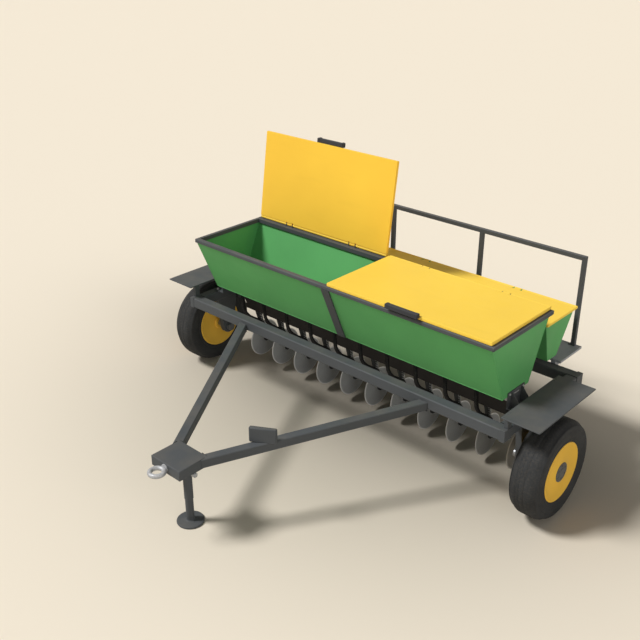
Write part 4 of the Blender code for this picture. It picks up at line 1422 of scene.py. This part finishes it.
@dataclass
class SmallSeedBox:
    """The small-seed box behind the hopper, with its rivets and outlets."""

    rivet: float = 0.0042
    rivet_height: float = 0.0022
    rivet_inset: float = 0.018
    rivet_shares: Span = (0.1, 0.9)
    floor: float = 0.853
    top: float = 1.1747
    floor_edges: Span = (1.1105, 1.2455)
    top_edges: Span = (1.0285, 1.4465)
    spout_step: float = 0.160
    stands: Triple = (-0.9, 0.0, 0.9)
    stand_room: float = 0.07
    end_room: float = 0.06
    flange: Triple = (0.022, 0.004, -0.010)
    pipe: Triple = (0.0135, -0.028, -0.044)
    bore: float = 0.008
    sunk: float = 0.001

    def build(self) -> None:
        """Dress the box, rivet its ends and fit its spouts."""
        dress(Finish.GREEN, "rear_box")
        box = Box("rear_box")
        self.rivet_ends(box)
        self.fit_spouts(box)

    def rivet_ends(self, box: Box) -> None:
        """Set rivets down both ends.

        Args:
            box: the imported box.
        """
        rivets = Shape("small_box_rivets")
        insets = (self.rivet_inset, -self.rivet_inset)
        for x, outward in ((box.low.x, -1), (box.high.x, 1)):
            for share in spread(*self.rivet_shares, 4):
                z = self.floor + (self.top - self.floor) * share
                for low, high, inset in zip(self.floor_edges, self.top_edges, insets):
                    place = (x, low + (high - low) * share + inset, z)
                    rivets.dome(place, ALONG_X * outward, self.rivet, self.rivet_height)
        rivets.piece(Finish.GREEN)

    def fit_spouts(self, box: Box) -> None:
        """Fit a small-seed spout under the floor for each row that no stand is in the way of.

        Args:
            box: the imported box.
        """
        spouts = Shape("small_seed_spouts")
        radius, high, low = self.flange
        pipe, shoulder, end = self.pipe
        outline = [(self.bore, high), (radius, high), (radius, low), (pipe, shoulder), (pipe, end),
                   (self.bore, end)]
        y, z = sum(self.floor_edges) / 2, self.floor - self.sunk
        for disc in DISCS:
            x = Box(disc).low.x + self.spout_step
            clear = all(abs(x - stand) > self.stand_room for stand in self.stands)
            if clear and x < box.high.x - self.end_room:
                spouts.lathe(outline, ALONG_Z, (x, y, z), 24)
        spouts.piece(Finish.DARK)


@dataclass
class Walkway:
    """The platform with its raised tread, and the handrail."""

    tube: float = 0.034
    posts: int = 4
    tread_pitch: float = 0.034
    tread: Triple = (0.022, 0.007, 0.0014)
    tread_room: Span = (0.05, 0.04)
    side_margin: float = 0.03
    front_margin: float = 0.022
    back_margin: float = 0.045
    post_gap: float = 0.001
    foot: Triple = (0.026, 0.020, 0.006)
    foot_gap: float = 0.0004
    foot_shift: float = 0.012
    foot_bolt: float = 0.006
    bolt_shifts: float = 2.4
    corners: tuple[tuple[int, int], ...] = ((-1, -1), (1, -1), (1, 1), (-1, 1))

    def build(self) -> None:
        """Dress the platform, raise its tread and weld the rail."""
        dress(Finish.TREAD, "platform")
        self.raise_tread()
        self.weld_rail()

    def raise_tread(self) -> None:
        """Cover the platform with small lozenges, each turned against the next."""
        top = Box("platform")
        studs = Shape("platform_tread")
        length, width, height = self.tread
        foot = ((-length / 2, 0), (0, -width / 2), (length / 2, 0), (0, width / 2))
        crest = ((-length / 4, 0), (0, -width / 6), (length / 4, 0), (0, width / 6))
        columns, rows = (int((size - room) / self.tread_pitch)
                         for size, room in zip(top.size, self.tread_room))
        across = spread(top.low.x + self.side_margin, top.high.x - self.side_margin, columns)
        along = spread(top.low.y + self.front_margin, top.high.y - self.back_margin, rows)
        for column, x in enumerate(across):
            for row, y in enumerate(along):
                turn = Matrix.Rotation(math.radians(45 if (column + row) % 2 else -45), 3, "Z")
                middle = Vector((x, y, top.high.z))
                studs.skin([[middle + turn @ Vector((*corner, rise)) for corner in ring]
                            for ring, rise in ((foot, -height), (crest, height))])
        studs.piece(Finish.TREAD)

    def weld_rail(self) -> None:
        """Mitre the rail's square tube, weld in its posts and stand them on flanges."""
        box, floor = Box("handrail"), Box("platform").high.z
        half, y = self.tube / 2, box.middle.y
        left, right, top = box.low.x + half, box.high.x - half, box.high.z - half
        rail = Shape("rail_tube")
        places = spread(left, right, self.posts)
        for x, slant in zip(places, (half, *[0.0] * (self.posts - 2), -half)):
            foot = [Vector((x + dx * half, y + dy * half, floor + self.post_gap)) for dx, dy in self.corners]
            head = [Vector((x + dx * half, y + dy * half, top + (dx * -slant if slant else -half)))
                    for dx, dy in self.corners]
            rail.skin([foot, head])
        rail.skin([[Vector((x - sign * dz * half, y + dy * half, top + dz * half))
                    for dy, dz in self.corners] for x, sign in ((left, 1), (right, -1))])
        rail.piece(Finish.GREY, stands_for=("handrail",), slot="grey_aluminium", soften=0.003, segments=3)
        feet, bolts = Shape("rail_feet"), Shape("rail_bolts")
        long, wide, high = self.foot
        for x in places:
            inward = math.copysign(self.foot_shift, -x)
            feet.block((x - long + inward, y - wide, floor + self.foot_gap),
                       (x + long + inward, y + wide, floor + high))
            bolts.bolt((x + inward * self.bolt_shifts, y, floor + high), ALONG_Z, self.foot_bolt)
        feet.piece(Finish.GREY, soften=0.0015)
        bolts.piece(Finish.STEEL)


@dataclass
class Wheels:
    """The wheels with their tyres, hubs and axles, and the fenders over them."""

    tyre_steps: int = 144
    rim_steps: int = 112
    hub_steps: int = 64
    crown: float = 0.016
    grooves: Span = (0.019, 0.047)
    groove: float = 0.0016
    groove_lip: Span = (0.0006, 0.0022)
    groove_half: float = 0.0014
    shoulder: tuple[Span, ...] = ((0.0025, 0.062), (0.006, 0.071))
    flank: tuple[Span, ...] = ((0.3665, 0.0785), (0.3525, 0.0995))
    bulge: Span = (0.343, 0.0965)
    bulge_round: float = 0.0125
    wall: tuple[Span, ...] = ((0.318, 0.0), (0.3165, 0.0012), (0.3145, 0.0012), (0.313, 0.0),
                              (0.262, 0.0005), (0.2595, 0.0022), (0.2570, 0.0022), (0.2545, 0.0008),
                              (0.246, 0.0020), (0.236, 0.006), (0.2295, 0.008))
    face: float = 0.103
    lip: float = 0.006
    lip_drop: float = 0.004
    well: Span = (0.024, 0.007)
    step: Span = (0.016, 0.001)
    seat: Span = (0.078, 0.084)
    boss: tuple[Span, ...] = ((0.060, -0.007), (0.055, 0.010), (0.053, 0.012), (0.0235, 0.012))
    boss_room: float = 0.02
    hub_face: float = 0.0985
    hub: tuple[Span, ...] = ((0.004, 0.0), (0.075, 0.0), (0.075, 0.0035), (0.0735, 0.005), (0.036, 0.005),
                             (0.034, 0.0085), (0.030, 0.0100), (0.004, 0.0100))
    lug_circle: float = 0.054
    lug_seat: float = 0.0048
    lug: float = 0.0085
    lug_steps: Span = (0.0036, 0.0048)
    lug_top: float = 0.8
    lugs: int = 6
    rolled: float = 0.006
    rivet_inset: float = 0.08
    rivet_step: float = 0.014
    rivet_in: float = 0.020
    rivet: Span = (0.006, 0.0028)

    def build(self) -> None:
        """Build both wheels and dress their axles and fenders."""
        dress(Finish.SHAFT, "axle_left", "axle_right")
        dress(Finish.GREY, "fender_left", "fender_right")
        for side, outward in SIDES:
            self.mould_tyre(side)
            self.press_wheel(side, outward)
            self.fit_hub(side, outward)
        self.roll_fender_edges()
        self.rivet_fenders()

    def mould_tyre(self, side: str) -> None:
        """Mould a tyre with its grooves, shoulders and bead rings.

        Args:
            side: left or right.
        """
        box = Box("tyre_" + side)
        radius, half = box.size.z / 2, box.size.x / 2
        drop, lip = self.groove_lip
        section = [(radius, 0.0), (radius, self.crown)]
        for middle in self.grooves:
            section += [(radius - drop, middle - lip), (radius - self.groove, middle - self.groove_half),
                        (radius - self.groove, middle + self.groove_half), (radius - drop, middle + lip)]
        section += [(radius - fall, x) for fall, x in self.shoulder]
        section += self.flank
        section += round_corner(self.bulge, self.bulge_round, 15, 85, 4)
        section += [(r, half - inset) for r, inset in self.wall]
        tyre = Shape("tyre_rubber_" + side)
        outline = section + [(r, -x) for r, x in reversed(section[1:])]
        tyre.lathe(outline, ALONG_X, box.middle, self.tyre_steps, looped=True)
        tyre.piece(Finish.TYRE, "wheel_" + side, stands_for=("tyre_" + side,), slot="tyre",
                   origin=box.middle)

    def press_wheel(self, side: str, outward: int) -> None:
        """Press the wheel disc with its lips, its dish and its hub seat.

        Args:
            side: left or right.
            outward: the wheel's outer side along X, -1 or 1.
        """
        box = Box("wheel_disc_" + side)
        middle = Vector((Box("tyre_" + side).middle.x, box.middle.y, box.middle.z))
        radius = box.size.z / 2
        edge = self.face - self.lip_drop
        rim = [(radius - fall, self.face - inset) for fall, inset in (self.well, self.step)]
        outer = [(BORE, edge), (self.seat[0], edge), (self.seat[1], self.face - self.well[1]), *rim,
                 *round_corner((radius - self.lip, edge), self.lip, 90, 0, 4)]
        inner = [(radius, -edge), *round_corner((radius - self.lip, -edge), self.lip, 0, -90, 4),
                 *[(r, -x) for r, x in reversed(rim)], *[(r, -self.face - x) for r, x in self.boss],
                 (self.boss[-1][0], -self.boss_room), (BORE, -self.boss_room)]
        disc = Shape("wheel_rim_" + side)
        disc.lathe(outer + inner, ALONG_X * outward, middle, self.rim_steps)
        disc.piece(Finish.RIM, "wheel_" + side, stands_for=("wheel_disc_" + side,), slot="yellow_rim",
                   origin=middle)

    def fit_hub(self, side: str, outward: int) -> None:
        """Fit the hub cap and its nuts.

        Args:
            side: left or right.
            outward: the wheel's outer side along X, -1 or 1.
        """
        middle, out = Box("tyre_" + side).middle, ALONG_X * outward
        hub, nuts = Shape("hub_cap_" + side), Shape("wheel_nuts_" + side)
        hub.lathe([(r, self.hub_face + x) for r, x in self.hub], out, middle, self.hub_steps)
        hub.piece(Finish.HUB, "wheel_" + side, origin=middle)
        chamfer, top = self.lug_steps
        nut = [(BORE / 4, 0), (self.lug, 0), (self.lug, chamfer), (self.lug * self.lug_top, top),
               (BORE / 4, top)]
        for n in range(self.lugs):
            angle = math.tau * (n + 0.5) / self.lugs
            place = middle + out * (self.hub_face + self.lug_seat)
            nuts.lathe(nut, out, place + Vector((0, math.cos(angle), math.sin(angle))) * self.lug_circle, 6)
        nuts.piece(Finish.HUB, "wheel_" + side, origin=middle)

    def roll_fender_edges(self) -> None:
        """Roll the fenders' long and short edges."""
        for side, _ in SIDES:
            fender = Box("fender_" + side)
            edge = Shape("fender_edge_" + side)
            left, right = fender.low.x + self.rolled, fender.high.x - self.rolled
            front, back = fender.low.y + self.rolled, fender.high.y - self.rolled
            corners = [Vector((x, y, fender.high.z - self.rolled))
                       for x, y in ((left, front), (right, front), (right, back), (left, back))]
            for start, end in zip(corners, corners[1:] + corners[:1]):
                edge.rod([start, end], self.rolled, 14)
            edge.piece(Finish.GREY)

    def rivet_fenders(self) -> None:
        """Rivet the fenders to their legs."""
        rivets = Shape("fender_bolts")
        for side, outward in SIDES:
            fender = Box("fender_" + side)
            inner = fender.low.x if outward > 0 else fender.high.x
            for y in (fender.low.y + self.rivet_inset, fender.high.y - self.rivet_inset):
                for step in (-self.rivet_step, self.rivet_step):
                    place = (inner + outward * self.rivet_in, y + step, fender.high.z)
                    rivets.dome(place, ALONG_Z, *self.rivet)
        rivets.piece(Finish.GREY)


@dataclass
class Metering:
    """The metering rail under the hopper with its cups, feed shaft, seed hoses and guard."""

    rail_half: float = 0.050
    rail_height: float = 0.036
    feed_shaft: float = 0.0085
    feed_place: Span = (0.026, 0.062)
    feed_end: float = 0.01
    bolt: float = 0.007
    cup_half: Span = (0.028, 0.040)
    cup_side: Span = (0.024, 0.030)
    cup_round: float = 0.016
    spigot: tuple[Span, ...] = ((0.012, 0.0), (0.0215, 0.0), (0.0195, -0.022), (0.012, -0.022))
    spigot_drop: float = 0.044
    slide_half: float = 0.020
    slide_depth: float = 0.0045
    slide_drops: Span = (0.006, 0.034)
    slide_pin: Triple = (0.012, 0.046, 0.020)
    slide_pin_radius: float = 0.0035
    hose: float = 0.0165
    rib: float = 0.0022
    rib_pitch: float = 0.0026
    hose_sides: int = 12
    curve_steps: int = 24
    smooth_ends: int = 5
    clip_half: float = 0.004
    clip: Span = (0.002, 0.0016)
    route: tuple[Span, ...] = ((0.0, 0.800), (0.002, 0.700), (0.022, 0.605), (0.075, 0.530), (0.160, 0.466),
                               (0.232, 0.412), (BOOT_BACK, 0.368), (BOOT_BACK, BOOT_TOP))
    guard_low: float = 0.566
    guard_gap: float = 0.012
    guard_sheet: float = 0.003
    guard_lip: Span = (0.012, 0.006)
    guard_hem: float = 0.002
    guard_bend: float = 0.252
    guard_top: Span = (0.0502, 0.020)
    guard_margin: float = 0.004
    guard_bolt: Span = (0.10, 0.085)
    unit: Box = field(init=False)
    middle: float = field(init=False)

    def build(self) -> None:
        """Build the rail, the cups, the hoses and the guard."""
        self.unit = Box("metering_unit")
        self.middle = Box("hopper_box").middle.y
        self.build_rail()
        self.build_cups()
        self.run_hoses()
        self.hang_guard()

    def build_rail(self) -> None:
        """Build the rail with its feed shaft and its bolts."""
        low, high, top = self.unit.low.x, self.unit.high.x, self.unit.high.z
        rail = Shape("metering_rail")
        rail.block((low, self.middle - self.rail_half, top - self.rail_height),
                   (high, self.middle + self.rail_half, top))
        rail.piece(Finish.DARK, stands_for=("metering_unit",), slot="grey_paint", soften=0.003)
        shaft = Shape("feed_shaft")
        length = self.unit.size.x - self.feed_end * 2
        across, drop = self.feed_place
        shaft.lathe([(BORE / 2, 0), (self.feed_shaft, 0), (self.feed_shaft, length), (BORE / 2, length)],
                    ALONG_X, (low + self.feed_end, self.middle - across, top - drop), 6)
        shaft.piece(Finish.SHAFT)
        bolts = Shape("rail_flange_bolts")
        rows = row_places()
        for one, other in zip(rows, rows[1:]):
            for side in (-1, 1):
                place = ((one + other) / 2, self.middle + side * self.rail_half, top - self.rail_height / 2)
                bolts.bolt(place, ALONG_Y * side, self.bolt)
        bolts.piece(Finish.STEEL)

    def build_cups(self) -> None:
        """Build the seed cups, each with its slide and its spigot."""
        top = self.unit.high.z - self.rail_height
        half, edge = self.cup_half
        cups, slides = Shape("seed_cups"), Shape("cup_slides")
        side = round_corner((-self.cup_side[0], top - self.cup_side[1]), self.cup_round, 180, 262, 5)
        outline = [(-edge, top), *side, *[(-a, b) for a, b in reversed(side)], (edge, top)]
        outline = [(self.middle + a, b) for a, b in outline]
        across, ahead, drop = self.slide_pin
        high, low = (top - fall for fall in self.slide_drops)
        for x in row_places():
            cups.slab(outline, thick_along_x, x - half, x + half)
            cups.lathe(self.spigot, ALONG_Z, (x, self.middle, top - self.spigot_drop), 24)
            slides.block((x - self.slide_half, self.middle - edge - self.slide_depth, low),
                         (x + self.slide_half, self.middle - edge, high))
            slides.rod([Vector((x + end, self.middle - ahead, top - drop)) for end in (-across, across)],
                       self.slide_pin_radius, 10)
        cups.piece(Finish.DARK, soften=0.002)
        slides.piece(Finish.STEEL, soften=0.0008)

    def run_hoses(self) -> None:
        """Run a ribbed hose from each cup to its boot."""
        hoses, clips = Shape("seed_hoses"), Shape("hose_clips")
        inner, outer, half = self.hose - self.clip[0], self.hose + self.clip[1], self.clip_half
        clip = [(inner, -half), (outer, -half), (outer, half), (inner, half)]
        for x in row_places():
            fine = flowing([Vector((x, self.middle + y, z)) for y, z in self.route],
                           self.curve_steps)
            length = sum((b - a).length for a, b in zip(fine, fine[1:]))
            count = round(length / self.rib_pitch)
            line = even(fine, count)
            ribbed = range(self.smooth_ends + 1, count - self.smooth_ends)
            radii = [self.hose - (self.rib if n % 2 and n in ribbed else 0.0) for n in range(len(line))]
            hoses.rod(line, radii, self.hose_sides)
            for end in (line[self.smooth_ends - 1], line[1 - self.smooth_ends]):
                clips.lathe(clip, ALONG_Z, end, 24, looped=True)
        hoses.piece(Finish.HOSE)
        clips.piece(Finish.STEEL)

    def hang_guard(self) -> None:
        """Hang the dark guard sheet behind the hoses, bolted to the toolbar's front."""
        gang, top = Box("opener_gang"), self.unit.high.z
        sheet, bolts = Shape("hose_guard"), Shape("guard_bolts")
        face = gang.low.y - self.guard_gap
        thick, low = self.guard_sheet, self.guard_low
        lip, drop = self.guard_lip
        back, fall = self.guard_top
        outline = [(face, low), (face + lip, low - drop), (face + lip + thick / 2, low - thick),
                   (face + thick, low + self.guard_hem), (face + thick, top - self.guard_bend),
                   (self.middle + back + thick, top - fall), (self.middle + back, top - fall),
                   (face, top - self.guard_bend - thick)]
        sheet.slab(outline, thick_along_x, self.unit.low.x + self.guard_margin,
                   self.unit.high.x - self.guard_margin)
        for x in row_places():
            bolts.bolt((x - self.guard_bolt[0], face, gang.high.z - self.guard_bolt[1]), -ALONG_Y, self.bolt)
        sheet.piece(Finish.GUARD)
        bolts.piece(Finish.DARK)


@dataclass
class Openers:
    """The opener gang: toolbar, shanks with clamps and springs, boots, and the discs."""

    bar: float = 0.060
    bar_round: float = 0.008
    bar_wall: float = 0.006
    shank: Span = (0.050, 0.018)
    shank_gap: float = 0.001
    shank_sunk: float = 0.002
    shank_eye: float = 0.028
    clamp_half: float = 0.030
    clamp_lap: float = 0.008
    clamp_thick: float = 0.010
    clamp_bolts: Span = (0.021, 0.004)
    clamp_rod: float = 0.0042
    clamp_nut: float = 0.007
    spring: float = 0.015
    spring_shares: Span = (0.10, 0.80)
    spring_turns: int = 11
    turn_steps: int = 14
    wire: float = 0.0035
    guide: float = 0.0055
    guide_place: Triple = (0.004, 0.26, 0.045)
    guide_drop: float = 0.012
    pin_bolt: float = 0.018
    pin_cap: tuple[Span, ...] = ((0.002, 0.0), (0.019, 0.0), (0.019, 0.005), (0.014, 0.008), (0.002, 0.008))
    boot: tuple[Span, ...] = ((0.006, 0.010), (0.0215, 0.010), (0.0215, -0.016), (0.0190, -0.020),
                              (0.0190, -0.055), (0.0150, -0.086), (0.006, -0.086))
    boot_arm: Triple = (0.014, -0.062, -0.014)
    boss: float = 0.034
    boss_height: float = 0.013
    boss_edge: float = 0.002
    boss_foot: Span = (0.003, 0.001)
    disc_steps: int = 96
    disc_half: float = 0.003
    disc_bore: float = 0.0126
    bevel: Span = (0.014, 0.001)
    bevel_fall: float = 0.0022
    cutting_edge: float = 0.004
    disc_rivet: Span = (0.005, 0.003)
    rivet_circle: float = 0.052
    rivets: int = 5
    gang: Box = field(init=False)
    discs: dict[str, Box] = field(init=False)

    def build(self) -> None:
        """Build the gang and its discs."""
        self.gang = Box("opener_gang")
        self.discs = {disc: Box(disc) for disc in DISCS}
        self.build_toolbar()
        self.build_shanks()
        self.build_boots()
        for name, disc in self.discs.items():
            self.roll_disc(name, disc)

    def build_toolbar(self) -> None:
        """Build the toolbar as a square tube with open ends."""
        tube = Shape("toolbar")
        half = self.bar / 2
        y, z = self.gang.low.y + half, self.gang.high.z - half
        low, high, flat = self.gang.low.x, self.gang.high.x, half - self.bar_round
        inner = self.bar_round - self.bar_wall
        rings = []
        for x, radius in ((low, self.bar_round), (high, self.bar_round), (high, inner), (low, inner)):
            ring = []
            for turn, (dy, dz) in enumerate(((1, 1), (-1, 1), (-1, -1), (1, -1))):
                ring += round_corner((y + dy * flat, z + dz * flat), radius, turn * 90, turn * 90 + 90, 4)
            rings.append([Vector((x, a, b)) for a, b in ring])
        tube.skin(rings, looped=True)
        tube.piece(Finish.GREY, stands_for=("opener_gang",), slot="grey_paint")

    def build_shanks(self) -> None:
        """Build the shanks, their clamps and springs, and the discs' pins."""
        shanks, clamps, springs, pins = map(Shape, ("shanks", "shank_clamps", "springs", "disc_pins"))
        half = self.bar / 2
        bar_y, bar_low = self.gang.low.y + half, self.gang.high.z - self.bar
        shift, reach, back = self.guide_place
        for disc in self.discs.values():
            hub, low = disc.middle, disc.high.x + self.shank_gap
            high = low + self.shank[1]
            x = (low + high) / 2
            top = Vector((0, bar_y, bar_low + self.shank_sunk))
            lean = (Vector((0, hub.y, hub.z)) - top).normalized()
            shanks.slab(self.shank_outline(top, lean, hub), thick_along_x, low, high)
            grip = Vector((self.clamp_half, half + self.clamp_lap, 0))
            under = Vector((x, bar_y, bar_low))
            clamps.block(under - grip - ALONG_Z * self.clamp_thick, under + grip)
            for dx in (-self.clamp_bolts[0], self.clamp_bolts[0]):
                for y in (bar_y - half - self.clamp_bolts[1], bar_y + half + self.clamp_bolts[1]):
                    end = bar_low - self.clamp_thick
                    clamps.rod([Vector((x + dx, y, end - self.clamp_thick)),
                                Vector((x + dx, y, self.gang.high.z - self.shank_sunk))], self.clamp_rod, 10)
                    clamps.bolt((x + dx, y, end), -ALONG_Z, self.clamp_nut)
            foot = Vector((x + shift, 0, 0)) + top + lean * reach
            head = Vector((x + shift, bar_y + back, bar_low - self.guide_drop))
            springs.rod(self.coil(foot, head), self.wire, 7)
            pins.rod([foot, head], self.guide, 10)
            pins.bolt((high, hub.y, hub.z), ALONG_X, self.pin_bolt)
            pins.lathe(self.pin_cap, -ALONG_X, (disc.low.x - self.shank_gap, hub.y, hub.z), 24)
        shanks.piece(Finish.DARK, soften=0.003)
        clamps.piece(Finish.DARK, soften=0.001, segments=1)
        springs.piece(Finish.STEEL)
        pins.piece(Finish.DARK)

    def shank_outline(self, top: Vector, lean: Vector, hub: Vector) -> list[Span]:
        """A shank's outline from the toolbar to its round lower end.

        Args:
            top: the middle of its upper end.
            lean: the way it goes down.
            hub: the disc's middle.

        Returns:
            The outline's points as Y and Z.
        """
        side = Vector((0, lean.z, -lean.y)) * (self.shank[0] / 2)
        first, second = (top + side).yz, (top - side).yz
        angle = math.degrees(math.atan2(lean.z, lean.y))
        arc = round_corner((hub.y, hub.z), self.shank_eye, angle - 90, angle + 90, 10)
        end = [Vector(place) for place in arc]
        if (end[0] - second).length > (end[-1] - second).length:
            end.reverse()
        return [first, second, *end]

    def coil(self, foot: Vector, head: Vector) -> list[Vector]:
        """The wire's route in a pressure spring.

        Args:
            foot: the lower end of the spring's guide.
            head: its upper end.

        Returns:
            The route's points.
        """
        axis = head - foot
        across = axis.normalized().orthogonal().normalized()
        other = axis.normalized().cross(across)
        start, length = self.spring_shares
        route = []
        for share in spread(0, 1, self.spring_turns * self.turn_steps + 1):
            angle = math.tau * self.spring_turns * share
            turned = across * math.cos(angle) + other * math.sin(angle)
            route.append(foot + axis * (start + length * share) + turned * self.spring)
        return route

    def build_boots(self) -> None:
        """Build the boots that carry the hoses' ends behind the discs."""
        boots = Shape("boots")
        y = Box("hopper_box").middle.y + BOOT_BACK
        half, low, high = self.boot_arm
        for disc, x in zip(self.discs.values(), row_places()):
            boots.lathe(self.boot, ALONG_Z, (x, y, BOOT_TOP), 24)
            boots.block((disc.high.x + self.shank_gap + self.shank[1], y - half, BOOT_TOP + low),
                        (x, y + half, BOOT_TOP + high))
        boots.piece(Finish.DARK, soften=0.0012)

    def roll_disc(self, name: str, box: Box) -> None:
        """Roll one disc with its bevel, its boss and its rivets.

        Args:
            name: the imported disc's name, which is also its body's.
            box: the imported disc's box.
        """
        radius, half, boss = box.size.z / 2, self.disc_half, self.boss
        middle = Vector((box.low.x + half, box.middle.y, box.middle.z))
        disc = Shape("opener_" + name)
        disc.lathe([(self.disc_bore, self.boss_height), (boss - self.boss_edge, self.boss_height),
                    (boss, self.boss_height - self.boss_edge), (boss, half + self.boss_foot[1]),
                    (boss + self.boss_foot[0], half),
                    (radius - self.bevel[0], half), (radius - self.bevel[1], -self.bevel_fall),
                    (radius, -half), (radius - self.cutting_edge, -half), (self.disc_bore, -half)],
                   ALONG_X, middle, self.disc_steps, looped=True)
        for n in range(self.rivets):
            angle = math.tau * n / self.rivets
            spot = middle + Vector((0, math.cos(angle), math.sin(angle))) * self.rivet_circle
            for face in (1, -1):
                disc.dome(spot + ALONG_X * (half * face), ALONG_X * face, *self.disc_rivet)
        disc.piece(Finish.DISC, name, stands_for=(name,), slot="disc_steel", origin=middle)


def main() -> None:
    """Build the drill's sub-assemblies in order."""
    logging.basicConfig(level=logging.INFO, format="%(message)s")
    for assembly in (Studio(), MainFrame(), Hitch(), Jack(), MainHopper(), Lids(), SmallSeedBox(), Walkway(),
                     Wheels(), Metering(), Openers()):
        LOG.info("building %s", type(assembly).__name__)
        assembly.build()


if __name__ == "__main__":
    main()
